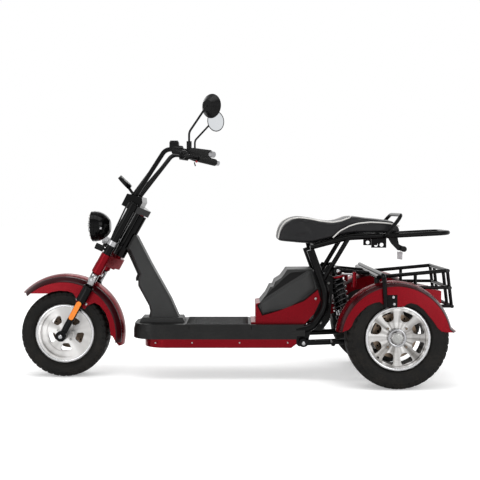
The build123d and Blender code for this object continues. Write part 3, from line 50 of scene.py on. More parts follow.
view = {
    "place": (-0.026, 4.12, 0.834),  # on the left, looking straight across
    "pitchDown": 2.28,  # degrees
    "lens": 62.4,
    "sensor": 36,
}
studio = {
    "worldLight": 0.80,  # what the white room gives to surfaces; the camera and reflections see it at 1
    "ceilingFrom": 0.25,  # upward share of a reflected ray's direction where the ceiling starts to darken
    "ceilingTo": 0.75,  # and where it is darkest
    "ceilingDrop": 0.6,  # how much darker it is there
    "floorReach": 30,
    "floorColour": (0.93, 0.93, 0.93, 1),
    "floorLift": 0.32,  # share of white that the camera sees under the shadow
    "lamps": (
        # name, place, aim, size in metres, power in watts
        ("topSoftbox", (0.2, 0.9, 3.4), (0, 0, 0.4), (3.2, 1.6), 40),
        ("rearKey", (-2.6, 3.4, 2.4), (-0.4, 0, 0.4), (1.8, 1.8), 26),
        ("frontFill", (2.8, 3.2, 1.5), (0.4, 0, 0.4), (1.6, 1.8), 14),
        ("backRim", (0.0, -3.2, 2.4), (0, 0, 0.5), (3.0, 1.0), 18),
        ("lowFront", (1.75, 3.0, 0.32), (0.8, 0, 0.35), (0.7, 0.5), 4),
        ("lowRear", (-1.7, 3.0, 0.32), (-0.8, 0, 0.4), (0.6, 0.5), 3.5),
    ),
}


def feed(tree, socket, value):
    # A number or a colour is set on the socket, and the output of another node is linked to it
    if isinstance(value, (int, float, tuple)):
        socket.default_value = value
    else:
        tree.links.new(value, socket)


def mathNode(tree, operation, first, second):
    node = tree.nodes.new("ShaderNodeMath")
    node.operation = operation
    feed(tree, node.inputs[0], first)
    feed(tree, node.inputs[1], second)
    return node.outputs[0]


def vectorNode(tree, operation, first, second=None):
    node = tree.nodes.new("ShaderNodeVectorMath")
    node.operation = operation
    feed(tree, node.inputs[0], first)
    if second is not None:
        feed(tree, node.inputs["Scale" if operation == "SCALE" else 1], second)
    return node.outputs["Value" if operation == "LENGTH" else "Vector"]


def noiseNode(tree, vector, scale, detail=4.0, rough=0.55):
    node = tree.nodes.new("ShaderNodeTexNoise")
    for label, value in (("Vector", vector), ("Scale", scale), ("Detail", detail), ("Roughness", rough)):
        feed(tree, node.inputs[label], value)
    return node.outputs["Fac"]


def cellsNode(tree, vector, scale, feature="F1"):
    node = tree.nodes.new("ShaderNodeTexVoronoi")
    node.feature = feature
    feed(tree, node.inputs["Vector"], vector)
    feed(tree, node.inputs["Scale"], scale)
    return node.outputs


def rangeNode(tree, value, low, high, toLow=0.0, toHigh=1.0):
    node = tree.nodes.new("ShaderNodeMapRange")
    feed(tree, node.inputs["Value"], value)
    for label, amount in (("From Min", low), ("From Max", high), ("To Min", toLow), ("To Max", toHigh)):
        feed(tree, node.inputs[label], amount)
    return node.outputs[0]


def mixColours(tree, mask, first, second):
    node = tree.nodes.new("ShaderNodeMix")
    node.data_type = "RGBA"
    tree.links.new(mask, node.inputs["Factor"])
    colourSockets = [socket for socket in node.inputs if socket.type == "RGBA"]
    feed(tree, colourSockets[0], first)
    feed(tree, colourSockets[1], second)
    return [socket for socket in node.outputs if socket.type == "RGBA"][0]


def buildCamera(scene):
    cameraData = bpy.data.cameras.new("photoCamera")
    cameraData.lens = view["lens"]
    cameraData.sensor_width = view["sensor"]
    camera = bpy.data.objects.new("photoCamera", cameraData)
    camera.location = view["place"]
    camera.rotation_euler = (math.radians(90 - view["pitchDown"]), 0, math.pi)
    scene.collection.objects.link(camera)
    scene.camera = camera


def buildLamps(scene):
    for name, place, target, size, power in studio["lamps"]:
        lamp = bpy.data.lights.new(name, "AREA")
        lamp.shape = "RECTANGLE"
        lamp.size, lamp.size_y = size
        lamp.energy = power
        holder = bpy.data.objects.new(name, lamp)
        holder.location = place
        # an area lamp shines along its own -Z
        holder.rotation_euler = (Vector(target) - Vector(place)).to_track_quat("-Z", "Y").to_euler()
        scene.collection.objects.link(holder)


def buildWorld(scene):
    world = bpy.data.worlds.new("softRoom")
    scene.world = world
    world.use_nodes = True
    tree = world.node_tree
    tree.nodes.clear()
    ray = tree.nodes.new("ShaderNodeLightPath").outputs
    seen = mathNode(tree, "MAXIMUM", ray["Is Camera Ray"], ray["Is Transmission Ray"])
    seenOrMirrored = mathNode(tree, "MAXIMUM", seen, ray["Is Glossy Ray"])
    strength = rangeNode(tree, seenOrMirrored, 0.0, 1.0, studio["worldLight"], 1.0)
    # reflections find white walls and a dimmer ceiling, so that metal and paint keep some contrast
    height = tree.nodes.new("ShaderNodeSeparateXYZ")
    tree.links.new(tree.nodes.new("ShaderNodeNewGeometry").outputs["Incoming"], height.inputs[0])
    ceiling = rangeNode(tree, height.outputs["Z"], -studio["ceilingFrom"], -studio["ceilingTo"], 0.0,
                        studio["ceilingDrop"])
    drop = mathNode(tree, "MULTIPLY", ceiling, ray["Is Glossy Ray"])
    shade = tree.nodes.new("ShaderNodeBackground")
    shade.inputs["Color"].default_value = (1, 1, 1, 1)
    tree.links.new(mathNode(tree, "SUBTRACT", strength, drop), shade.inputs["Strength"])
    out = tree.nodes.new("ShaderNodeOutputWorld")
    tree.links.new(shade.outputs[0], out.inputs["Surface"])


def buildFloor(scene):
    mesh = bpy.data.meshes.new("studioFloor")
    reach = studio["floorReach"]
    corners = [(-reach, -reach, 0), (reach, -reach, 0), (reach, reach, 0), (-reach, reach, 0)]
    mesh.from_pydata(corners, [], [(0, 1, 2, 3)])
    floor = bpy.data.objects.new("studioFloor", mesh)
    scene.collection.objects.link(floor)
    paper = bpy.data.materials.new("paperFloor")
    paper.use_nodes = True
    tree = paper.node_tree
    shader = tree.nodes["Principled BSDF"]
    shader.inputs["Base Color"].default_value = studio["floorColour"]
    shader.inputs["Roughness"].default_value = 0.9
    shader.inputs["Specular IOR Level"].default_value = 0.1
    shader.inputs["Emission Color"].default_value = (1, 1, 1, 1)
    cameraRay = tree.nodes.new("ShaderNodeLightPath").outputs["Is Camera Ray"]
    lift = mathNode(tree, "MULTIPLY", cameraRay, studio["floorLift"])
    tree.links.new(lift, shader.inputs["Emission Strength"])
    mesh.materials.append(paper)


bpy.context.scene.view_settings.view_transform = "Standard"
buildCamera(bpy.context.scene)
buildLamps(bpy.context.scene)
buildWorld(bpy.context.scene)
buildFloor(bpy.context.scene)
print("studio built")


# Effects shared by several materials, each a node group fed by a point in Object coordinates
def startGroup(name, inputs, outputs):
    group = bpy.data.node_groups.new(name, "ShaderNodeTree")
    for label, kind, value in inputs:
        socket = group.interface.new_socket(label, in_out="INPUT", socket_type="NodeSocket" + kind)
        if value is not None:
            socket.default_value = value
    for label, kind in outputs:
        group.interface.new_socket(label, in_out="OUTPUT", socket_type="NodeSocket" + kind)
    return group, group.nodes.new("NodeGroupInput"), group.nodes.new("NodeGroupOutput")


# Tone: slow noise that lightens and darkens a colour by an amount, so no surface is one flat colour
def makeToneGroup():
    group, start, end = startGroup(
        "slowTone",
        [("Vector", "Vector", None), ("Colour", "Color", (0.5, 0.5, 0.5, 1)), ("Scale", "Float", 6.0),
         ("Amount", "Float", 0.15)],
        [("Colour", "Color"), ("Mask", "Float")],
    )
    fac = noiseNode(group, start.outputs["Vector"], start.outputs["Scale"])
    centred = mathNode(group, "SUBTRACT", fac, 0.5)
    pushed = mathNode(group, "MULTIPLY", centred, start.outputs["Amount"])
    tripled = mathNode(group, "MULTIPLY", pushed, 3.0)
    gain = mathNode(group, "ADD", tripled, 1.0)
    group.links.new(vectorNode(group, "SCALE", start.outputs["Colour"], gain), end.inputs["Colour"])
    group.links.new(fac, end.inputs["Mask"])
    return group


# Grain: rounded cells over fine noise, the pimpled face of moulded plastic and rubber
def makeGrainGroup():
    group, start, end = startGroup(
        "mouldGrain",
        [("Vector", "Vector", None), ("Scale", "Float", 420.0), ("Rough", "Float", 0.5)],
        [("Height", "Float"), ("Roughness", "Float")],
    )
    at, scale = start.outputs["Vector"], start.outputs["Scale"]
    cells = cellsNode(group, at, scale, "SMOOTH_F1")
    fine = noiseNode(group, at, mathNode(group, "MULTIPLY", scale, 2.1))
    height = mathNode(group, "ADD", cells["Distance"], mathNode(group, "MULTIPLY", fine, 0.6))
    group.links.new(height, end.inputs["Height"])
    spread = rangeNode(group, noiseNode(group, at, 9.0), 0.3, 0.7, -0.07, 0.07)
    group.links.new(mathNode(group, "ADD", spread, start.outputs["Rough"]), end.inputs["Roughness"])
    return group


# Flake: small cells with a brightness each, seen through a clear coat
def makeFlakeGroup():
    group, start, end = startGroup(
        "paintFlake",
        [("Vector", "Vector", None), ("Colour", "Color", (0.4, 0, 0, 1)),
         ("Sparkle", "Color", (0.8, 0.1, 0.1, 1)), ("Scale", "Float", 800.0)],
        [("Colour", "Color"), ("Height", "Float")],
    )
    cells = cellsNode(group, start.outputs["Vector"], start.outputs["Scale"])
    split = group.nodes.new("ShaderNodeSeparateColor")
    group.links.new(cells["Color"], split.inputs[0])
    bright = rangeNode(group, split.outputs[0], 0.72, 1.0, 0.0, 0.55)
    mixed = mixColours(group, bright, start.outputs["Colour"], start.outputs["Sparkle"])
    group.links.new(mixed, end.inputs["Colour"])
    group.links.new(split.outputs[1], end.inputs["Height"])
    return group


# Dust: noise of two sizes multiplied and cut to a mask of soft patches
def makeDustGroup():
    group, start, end = startGroup(
        "roadDust",
        [("Vector", "Vector", None), ("Scale", "Float", 14.0), ("Amount", "Float", 0.3)],
        [("Mask", "Float")],
    )
    at, scale = start.outputs["Vector"], start.outputs["Scale"]
    slow = noiseNode(group, at, scale, 6.0, 0.65)
    fine = noiseNode(group, at, mathNode(group, "MULTIPLY", scale, 11.0))
    mask = rangeNode(group, mathNode(group, "MULTIPLY", slow, fine), 0.18, 0.42)
    group.links.new(mathNode(group, "MULTIPLY", mask, start.outputs["Amount"]), end.inputs["Mask"])
    return group


# Brushed: noise squeezed along one axis into fine lines, for polished metal
def makeBrushGroup():
    group, start, end = startGroup(
        "brushedMetal",
        [("Vector", "Vector", None), ("Scale", "Float", 90.0), ("Rough", "Float", 0.2)],
        [("Roughness", "Float"), ("Height", "Float")],
    )
    stretch = group.nodes.new("ShaderNodeMapping")
    stretch.inputs["Scale"].default_value = (1.0, 14.0, 1.0)
    group.links.new(start.outputs["Vector"], stretch.inputs["Vector"])
    lines = noiseNode(group, stretch.outputs[0], start.outputs["Scale"], 5.0, 0.6)
    spread = rangeNode(group, lines, 0.3, 0.7, -0.08, 0.12)
    group.links.new(mathNode(group, "ADD", spread, start.outputs["Rough"]), end.inputs["Roughness"])
    group.links.new(lines, end.inputs["Height"])
    return group


# Turned: fans of painted light and shade round an axle, a painted reflection of the turned face, and fine
# rings from the lathe. The point less the axle gives a radius for the rings, and noise over (cos, sin) of its
# angle gives the fans.
def makeTurnedGroup():
    group, start, end = startGroup(
        "turnedMetal",
        [("Vector", "Vector", None), ("Axle", "Vector", (0, 0, 0)), ("Fans", "Float", 3.0)],
        [("Fan", "Float"), ("Ring", "Float")],
    )
    shifted = vectorNode(group, "SUBTRACT", start.outputs["Vector"], start.outputs["Axle"])
    flat = vectorNode(group, "MULTIPLY", shifted, (1, 0, 1))
    spread = vectorNode(group, "SCALE", vectorNode(group, "NORMALIZE", flat), start.outputs["Fans"])
    fan = rangeNode(group, noiseNode(group, spread, 1.0, 1.0), 0.35, 0.65)
    group.links.new(fan, end.inputs["Fan"])
    across = group.nodes.new("ShaderNodeCombineXYZ")
    group.links.new(vectorNode(group, "LENGTH", flat), across.inputs["X"])
    group.links.new(noiseNode(group, across.outputs[0], 900.0, 2.0), end.inputs["Ring"])
    return group


groups = {
    "tone": makeToneGroup(),
    "grain": makeGrainGroup(),
    "flake": makeFlakeGroup(),
    "dust": makeDustGroup(),
    "brush": makeBrushGroup(),
    "turned": makeTurnedGroup(),
}
print("node groups made")


def startMaterial(name, **sockets):
    # A material with its Principled shader, whose plain sockets are set from the keywords
    material = bpy.data.materials.new(name)
    material.use_nodes = True
    tree = material.node_tree
    shader = tree.nodes["Principled BSDF"]
    for label, value in sockets.items():
        shader.inputs[label.replace("_", " ")].default_value = value
    place = tree.nodes.new("ShaderNodeTexCoord")
    return material, tree, shader, place.outputs["Object"]


def useGroup(tree, kind, vector, **values):
    node = tree.nodes.new("ShaderNodeGroup")
    node.node_tree = groups[kind]
    tree.links.new(vector, node.inputs["Vector"])
    for label, value in values.items():
        node.inputs[label].default_value = value
    return node


def addBump(tree, shader, height, strength, distance):
    bump = tree.nodes.new("ShaderNodeBump")
    bump.inputs["Strength"].default_value = strength
    bump.inputs["Distance"].default_value = distance
    tree.links.new(height, bump.inputs["Height"])
    tree.links.new(bump.outputs[0], shader.inputs["Normal"])


# Candy paint: red flake under a clear coat, a little deeper in slow patches
def candyPaint(name, values):
    material, tree, shader, at = startMaterial(
        name, Metallic=values["metal"], Roughness=values["rough"], Specular_IOR_Level=values["specular"],
        Coat_Weight=values["coat"], Coat_Roughness=0.22,
    )
    flake = useGroup(tree, "flake", at, Colour=values["colour"], Sparkle=values["sparkle"],
                     Scale=values["flakeScale"])
    tone = useGroup(tree, "tone", at, Scale=5.0, Amount=values["tone"])
    tree.links.new(flake.outputs["Colour"], tone.inputs["Colour"])
    tree.links.new(tone.outputs["Colour"], shader.inputs["Base Color"])
    addBump(tree, shader, flake.outputs["Height"], 0.05, 0.0004)
    return material


# Gloss enamel on tubes: near black with a faint orange peel and dust in patches
def enamel(name, values):
    material, tree, shader, at = startMaterial(name, Specular_IOR_Level=values["specular"])
    tone = useGroup(tree, "tone", at, Colour=values["colour"], Scale=11.0, Amount=0.25)
    dust = useGroup(tree, "dust", at, Scale=18.0, Amount=values["dust"])
    colour = mixColours(tree, dust.outputs["Mask"], tone.outputs["Colour"], values["dustColour"])
    tree.links.new(colour, shader.inputs["Base Color"])
    rough = rangeNode(tree, dust.outputs["Mask"], 0.0, 0.5, values["rough"], values["rough"] + 0.3)
    tree.links.new(rough, shader.inputs["Roughness"])
    addBump(tree, shader, noiseNode(tree, at, 120.0, 2.0), 0.06, 0.0006)
    return material


# Moulded plastic or rubber: grain in the height and the roughness, slow tone and dust in the colour
def moulded(name, values):
    material, tree, shader, at = startMaterial(name, Specular_IOR_Level=values.get("specular", 0.5))
    tone = useGroup(tree, "tone", at, Colour=values["colour"], Scale=7.0, Amount=values.get("tone", 0.18))
    dust = useGroup(tree, "dust", at, Scale=16.0, Amount=values["dust"])
    colour = mixColours(tree, dust.outputs["Mask"], tone.outputs["Colour"], values["dustColour"])
    tree.links.new(colour, shader.inputs["Base Color"])
    grain = useGroup(tree, "grain", at, Scale=values["grainScale"], Rough=values["rough"])
    tree.links.new(grain.outputs["Roughness"], shader.inputs["Roughness"])
    addBump(tree, shader, grain.outputs["Height"], values["grain"], 0.0004)
    return material


# Polished or plated metal: brushed roughness under slow tone
def metal(name, values):
    material, tree, shader, at = startMaterial(name, Metallic=1.0)
    tone = useGroup(tree, "tone", at, Colour=values["colour"], Scale=8.0, Amount=values.get("tone", 0.12))
    tree.links.new(tone.outputs["Colour"], shader.inputs["Base Color"])
    brush = useGroup(tree, "brush", at, Scale=values.get("brushScale", 90.0), Rough=values["rough"])
    tree.links.new(brush.outputs["Roughness"], shader.inputs["Roughness"])
    addBump(tree, shader, brush.outputs["Height"], values.get("bump", 0.03), 0.0004)
    return material


# Turned alloy of a wheel: rings from the lathe round the axle, and fans of painted light and shade round it,
# a painted reflection
def turnedAlloy(name, values):
    material, tree, shader, at = startMaterial(name, Metallic=1.0)
    turned = useGroup(tree, "turned", at, Axle=values["axle"], Fans=values["fans"])
    # painted light and shade: the fan mask mixes the dark colour and the bright one round the axle
    colour = mixColours(tree, turned.outputs["Fan"], values["colour"], values["bright"])
    tree.links.new(colour, shader.inputs["Base Color"])
    rough = rangeNode(tree, turned.outputs["Ring"], 0.3, 0.7, values["rough"], values["rough"] + 0.14)
    tree.links.new(rough, shader.inputs["Roughness"])
    addBump(tree, shader, turned.outputs["Ring"], 0.02, 0.0003)
    return material


# Leather: creases between bent cells, with a satin sheen
def leather(name, values):
    material, tree, shader, at = startMaterial(
        name, Specular_IOR_Level=0.22, Coat_Weight=0.06, Coat_Roughness=0.35,
    )
    tone = useGroup(tree, "tone", at, Colour=values["colour"], Scale=5.0, Amount=0.3)
    tree.links.new(tone.outputs["Colour"], shader.inputs["Base Color"])
    # a slower noise bends the cells, so that no crease runs straight
    wobble = tree.nodes.new("ShaderNodeTexNoise")
    wobble.inputs["Scale"].default_value = 60.0
    tree.links.new(at, wobble.inputs["Vector"])
    bent = tree.nodes.new("ShaderNodeVectorMath")
    bent.operation = "MULTIPLY_ADD"
    tree.links.new(wobble.outputs["Color"], bent.inputs[0])
    bent.inputs[1].default_value = (0.006, 0.006, 0.006)
    tree.links.new(at, bent.inputs[2])
    cells = cellsNode(tree, bent.outputs[0], values["grainScale"], "DISTANCE_TO_EDGE")
    crease = rangeNode(tree, cells["Distance"], 0.0, 0.12)
    rough = rangeNode(tree, tone.outputs["Mask"], 0.3, 0.7, values["rough"] - 0.06, values["rough"] + 0.08)
    tree.links.new(rough, shader.inputs["Roughness"])
    addBump(tree, shader, crease, values["grain"], 0.0006)
    return material


# Clear or tinted glass and lens plastic, with faint haze in patches and moulded ribs
def glassy(name, values):
    material, tree, shader, at = startMaterial(
        name, Transmission_Weight=values["transmission"], IOR=1.46, Base_Color=values["colour"],
    )
    haze = rangeNode(tree, noiseNode(tree, at, 30.0), 0.3, 0.7, values["rough"], values["rough"] + 0.05)
    tree.links.new(haze, shader.inputs["Roughness"])
    ribs = tree.nodes.new("ShaderNodeTexWave")
    ribs.inputs["Scale"].default_value = values["ribScale"]
    tree.links.new(at, ribs.inputs["Vector"])
    addBump(tree, shader, ribs.outputs["Fac"], values["rib"], 0.001)
    return material


paints = {
    "candy_red": (candyPaint, dict(
        colour=(0.165, 0.0002, 0.0045, 1), sparkle=(0.32, 0.001, 0.012, 1), metal=0.6, rough=0.27,
        specular=0.05, coat=0.14, flakeScale=900.0, tone=0.1)),
    # A dark maroon for the fender bands, a painted reflection of dark surroundings on the red crown
    "painted_dark_reflection": (enamel, dict(
        colour=(0.028, 0.0015, 0.003, 1), rough=0.2, dust=0.05, specular=0.2,
        dustColour=(0.05, 0.03, 0.03, 1))),
    "gloss_black": (enamel, dict(
        colour=(0.0018, 0.0018, 0.002, 1), rough=0.13, dust=0.03, specular=0.12,
        dustColour=(0.04, 0.038, 0.035, 1))),
    "grey_plastic": (moulded, dict(
        colour=(0.028, 0.0285, 0.0285, 1), rough=0.42, grainScale=520.0, grain=0.18, dust=0.12,
        dustColour=(0.05, 0.05, 0.048, 1), specular=0.25)),
    "deck_plastic": (moulded, dict(
        colour=(0.006, 0.006, 0.006, 1), rough=0.4, grainScale=420.0, grain=0.22, dust=0.16,
        dustColour=(0.04, 0.038, 0.035, 1), specular=0.22)),
    "black_plastic": (moulded, dict(
        colour=(0.0028, 0.0028, 0.003, 1), rough=0.32, grainScale=560.0, grain=0.14, dust=0.06,
        dustColour=(0.03, 0.029, 0.027, 1), specular=0.16)),
    "seat_leather": (leather, dict(
        colour=(0.0085, 0.0085, 0.0095, 1), rough=0.38, grainScale=260.0, grain=0.25)),
    "chrome_trim": (metal, dict(
        colour=(0.42, 0.42, 0.43, 1), rough=0.14, bump=0.0)),
    "reflector_orange": (glassy, dict(
        colour=(0.92, 0.24, 0.01, 1), transmission=0.1, rough=0.16, ribScale=90.0, rib=0.25)),
    "lamp_glass": (glassy, dict(
        colour=(0.86, 0.88, 0.9, 1), transmission=0.8, rough=0.05, ribScale=24.0, rib=0.12)),
    "grip_rubber": (moulded, dict(
        colour=(0.007, 0.007, 0.007, 1), rough=0.6, grainScale=380.0, grain=0.35, dust=0.1,
        dustColour=(0.05, 0.047, 0.044, 1), specular=0.25)),
    "mirror_face": (metal, dict(
        colour=(0.7, 0.72, 0.74, 1), rough=0.03, bump=0.0, tone=0.03)),
    "tyre_rubber": (moulded, dict(
        colour=(0.0055, 0.0055, 0.0052, 1), rough=0.58, grainScale=260.0, grain=0.3, dust=0.36,
        dustColour=(0.03, 0.024, 0.018, 1), tone=0.25, specular=0.16)),
    # on the rims the bright colour is the painted highlight of the fans, and the plain colour their painted
    # shade
    "wheel_silver": (turnedAlloy, dict(
        colour=(0.44, 0.43, 0.42, 1), bright=(0.72, 0.71, 0.7, 1), rough=0.3, axle=frontAxle,
        fans=1.5)),
    "wheel_alloy": (turnedAlloy, dict(
        colour=(0.2, 0.19, 0.18, 1), bright=(0.66, 0.65, 0.64, 1), rough=0.24, axle=rearAxle,
        fans=3.4)),
    "disc_steel": (metal, dict(
        colour=(0.21, 0.16, 0.12, 1), rough=0.3, brushScale=160.0)),
    "cable_rubber": (moulded, dict(
        colour=(0.006, 0.006, 0.006, 1), rough=0.45, grainScale=700.0, grain=0.12, dust=0.06,
        dustColour=(0.05, 0.047, 0.045, 1), specular=0.25)),
    "piping_white": (moulded, dict(
        colour=(0.62, 0.61, 0.59, 1), rough=0.45, grainScale=900.0, grain=0.1, dust=0.25,
        dustColour=(0.4, 0.38, 0.35, 1))),
    "polished_lip": (metal, dict(
        colour=(0.6, 0.6, 0.61, 1), rough=0.16, bump=0.0)),
    "nut_steel": (metal, dict(
        colour=(0.36, 0.36, 0.35, 1), rough=0.28, brushScale=240.0)),
    "tag_card": (moulded, dict(
        colour=(0.52, 0.5, 0.52, 1), rough=0.35, grainScale=900.0, grain=0.08, dust=0.15,
        dustColour=(0.42, 0.4, 0.4, 1))),
    "spring_black": (enamel, dict(
        colour=(0.003, 0.003, 0.0035, 1), rough=0.2, dust=0.03, specular=0.6,
        dustColour=(0.04, 0.038, 0.035, 1))),
    "red_button": (moulded, dict(
        colour=(0.5, 0.01, 0.02, 1), rough=0.3, grainScale=900.0, grain=0.05, dust=0.05,
        dustColour=(0.3, 0.05, 0.05, 1))),
    "display_glass": (enamel, dict(
        colour=(0.002, 0.002, 0.003, 1), rough=0.05, dust=0.04, specular=0.5,
        dustColour=(0.05, 0.05, 0.05, 1))),
}
finishes = {slotName: recipe(slotName + "_look", values) for slotName, (recipe, values) in paints.items()}

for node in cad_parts.values():
    for place in node.material_slots:
        slotName = place.material.name.split(".")[0]
        if slotName in finishes:
            place.material = finishes[slotName]
        else:
            print("no finish for", node.name, slotName)
print("finishes assigned")


# Shapes are worked out below as arrays of points
def gridQuads(rows, columns, loopRows=False):
    # Corner numbers of the quads of a grid whose columns close round, and its rows too where loopRows says so
    row, column = np.meshgrid(np.arange(rows if loopRows else rows - 1), np.arange(columns), indexing="ij")
    nextRow, nextColumn = (row + 1) % rows, (column + 1) % columns
    corners = (row * columns + column, row * columns + nextColumn, nextRow * columns + nextColumn,
               nextRow * columns + column)
    return np.stack(corners, -1).reshape(-1, 4)


weldDistance = 0.00001
edgeDistance = 0.000001


def putPiece(name, grids, body, slotName, finish=None, replaces=(), smooth=True):
    # One piece from several grids of points and quads, doubles merged at poles and faces turned outwards.
    # Its finish is the one named after its slot where no other is given.
    points, quads, count = [], [], 0
    for grid, faces in grids:
        flat = grid.reshape(-1, 3)
        points.append(flat)
        quads.append(faces + count)
        count += len(flat)
    mesh = bpy.data.meshes.new(name)
    mesh.from_pydata(np.concatenate(points).tolist(), [], np.concatenate(quads).tolist())
    work = bmesh.new()
    work.from_mesh(mesh)
    bmesh.ops.remove_doubles(work, verts=work.verts, dist=weldDistance)
    bmesh.ops.dissolve_degenerate(work, edges=work.edges, dist=edgeDistance)
    bmesh.ops.recalc_face_normals(work, faces=work.faces)
    work.to_mesh(mesh)
    work.free()
    if smooth:
        mesh.shade_smooth()
    else:
        mesh.shade_flat()
    mesh.materials.append(finishes[finish or slotName])
    piece = bpy.data.objects.new(name, mesh)
    bpy.context.scene.collection.objects.link(piece)
    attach(piece, body)
    if replaces:
        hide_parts(*replaces)
    return piece


def mirrored(place, side):
    # A place on the left for side 1, and its mirror on the right for side -1
    return np.array((place[0], side * place[1], place[2]))


def unit(vectors):
    return vectors / np.linalg.norm(vectors, axis=-1, keepdims=True)


def sideFrame(axis):
    # The axis at length one, and two directions square to it
    axis = unit(np.asarray(axis, float))
    other = np.array((0.0, 0.0, 1.0)) if abs(axis[2]) < 0.9 else np.array((1.0, 0.0, 0.0))
    first = unit(np.cross(other, axis))
    return axis, first, np.cross(axis, first)


def evenAngles(count):
    return np.linspace(0, 2 * np.pi, count, endpoint=False)


def circle(angle, first, second):
    # Direction at each angle: cos * first + sin * second
    return np.cos(angle)[..., None] * first + np.sin(angle)[..., None] * second


def axleCircle(centre, angle, radius, offset):
    # Places on a circle round an axle along y: centre + (cos * radius, offset, sin * radius)
    around = (np.cos(angle) * radius, np.full(len(angle), offset), np.sin(angle) * radius)
    return np.asarray(centre) + np.stack(around, -1)


def lathe(profile, centre=(0, 0, 0), axis=(1, 0, 0), steps=48):
    # Rows are profile points (along the axis, radius), columns are angles:
    # centre + axis * along + direction at the angle * radius
    profile = np.asarray(profile, float)
    axis, first, second = sideFrame(axis)
    around = circle(evenAngles(steps), first, second)
    points = (np.asarray(centre, float) + profile[:, 0, None, None] * axis
              + profile[:, 1, None, None] * around[None])
    return points, gridQuads(len(profile), steps)


def sleeve(low, high, first, last, radius, closeIn, steps=32):
    # Tube round the line from low to high, between two shares of it, closed inwards by closeIn at both ends
    low, high = np.asarray(low, float), np.asarray(high, float)
    span = np.linalg.norm(high - low)
    profile = [(first * span, radius - closeIn), (first * span, radius), (last * span, radius),
               (last * span, radius - closeIn), (first * span, radius - closeIn)]
    return lathe(profile, low, high - low, steps)


def bead(along, radius, size):
    # Profile of a round ring: a circle of the given size about (along, radius), closed by its first point
    turn = np.linspace(0, 2 * np.pi, 13)
    return np.stack([along + size * np.sin(turn), radius + size * np.cos(turn)], -1)


def evenly(points, count, closed=False):
    # Points at even steps along straight runs, by the distance walked; a closed line leaves out its end
    points = np.asarray(points, float)
    walked = np.concatenate([[0], np.cumsum(np.linalg.norm(np.diff(points, axis=0), axis=1))])
    at = np.linspace(0, walked[-1], count, endpoint=not closed)
    return np.stack([np.interp(at, walked, points[:, k]) for k in range(points.shape[1])], -1)


def smoothPath(points, count):
    # Even steps, rounded by three passes of a moving average that keeps the ends
    line = evenly(points, count)
    for turn in range(3):
        line[1:-1] = (line[:-2] + line[1:-1] * 2 + line[2:]) / 4
    return line


def pipe(path, radius, up=(0, 1, 0.013), around=12):
    # Circle carried along a path, its frame from the path's direction and one fixed up vector that no run
    # is parallel to; both ends close to a point
    path = np.asarray(path, float)
    way = unit(np.gradient(path, axis=0))
    first = unit(np.cross(way, np.asarray(up, float)))
    second = np.cross(way, first)
    path, first, second = [np.concatenate([rows[:1], rows, rows[-1:]]) for rows in (path, first, second)]
    size = np.full(len(path), float(radius))
    size[[0, -1]] = 0
    ring = circle(evenAngles(around)[None], first[:, None], second[:, None])
    return path[:, None] + ring * size[:, None, None], gridQuads(len(path), around)


def stamp(grid, places, axes):
    # The same small grid, built along +X at the origin, repeated at each place and turned to each axis
    points, quads = grid
    flat = points.reshape(-1, 3)
    copies, faces = [], []
    for number, (place, axis) in enumerate(zip(places, axes)):
        along, first, second = sideFrame(axis)
        turned = flat[:, :1] * along + flat[:, 1:2] * first + flat[:, 2:] * second
        copies.append(turned + np.asarray(place, float))
        faces.append(quads + number * len(flat))
    return np.concatenate(copies), np.concatenate(faces)


def squared(wave, power):
    # A sine or cosine pushed out toward 1, which turns a circle into a rounded square
    return np.sign(wave) * np.abs(wave) ** power


def softBox(low, high, edge, sides=6, power=0.25):
    # Rounded box: squared circles at six levels, drawn in by the edge at top and bottom and closed there
    low, high = np.asarray(low, float), np.asarray(high, float)
    centre, half = (low + high) / 2, (high - low) / 2
    angle = evenAngles(8 * sides)
    corner = np.stack([squared(np.cos(angle), power), squared(np.sin(angle), power)], -1)
    level = np.array([-half[2], -half[2], -half[2] + edge, half[2] - edge, half[2], half[2]])
    drawn = np.array([np.inf, edge, 0, 0, edge, np.inf])
    reach = np.clip(half[None, :2] - drawn[:, None], 0, None)
    points = np.empty((len(level), len(angle), 3))
    points[:, :, :2] = corner[None] * reach[:, None]
    points[:, :, 2] = level[:, None]
    return points + centre, gridQuads(len(level), len(angle))


plateSteps = 96


def plate(outline, inner, outer, bevel):
    # Plate between two distances from the middle plane: its outline (x, z) with rounded corners, and a soft
    # edge that draws each point toward the centre by the bevel
    loop = evenly(list(outline) + [outline[0]], plateSteps, closed=True)
    for turn in range(2):
        loop = (np.roll(loop, 1, 0) + 2 * loop + np.roll(loop, -1, 0)) / 4
    middle = loop.mean(0)
    away = loop - middle
    drawn = middle + away * (1 - bevel / np.linalg.norm(away, axis=1, keepdims=True))
    centre = np.broadcast_to(middle, loop.shape)
    way = np.sign(outer - inner)
    rows = [(centre, inner), (loop, inner), (loop, outer - way * bevel), (drawn, outer),
            (middle + away * 0.5, outer), (centre, outer)]
    points = np.stack([np.stack([flat[:, 0], np.full(plateSteps, y), flat[:, 1]], -1) for flat, y in rows])
    return points, gridQuads(len(rows), plateSteps)


def closeEnds(points):
    # The first and last loops of a carried section are each closed to their middle
    ends = [np.broadcast_to(points[k].mean(0), points[k].shape)[None] for k in (0, -1)]
    return np.concatenate([ends[0], points, ends[1]])


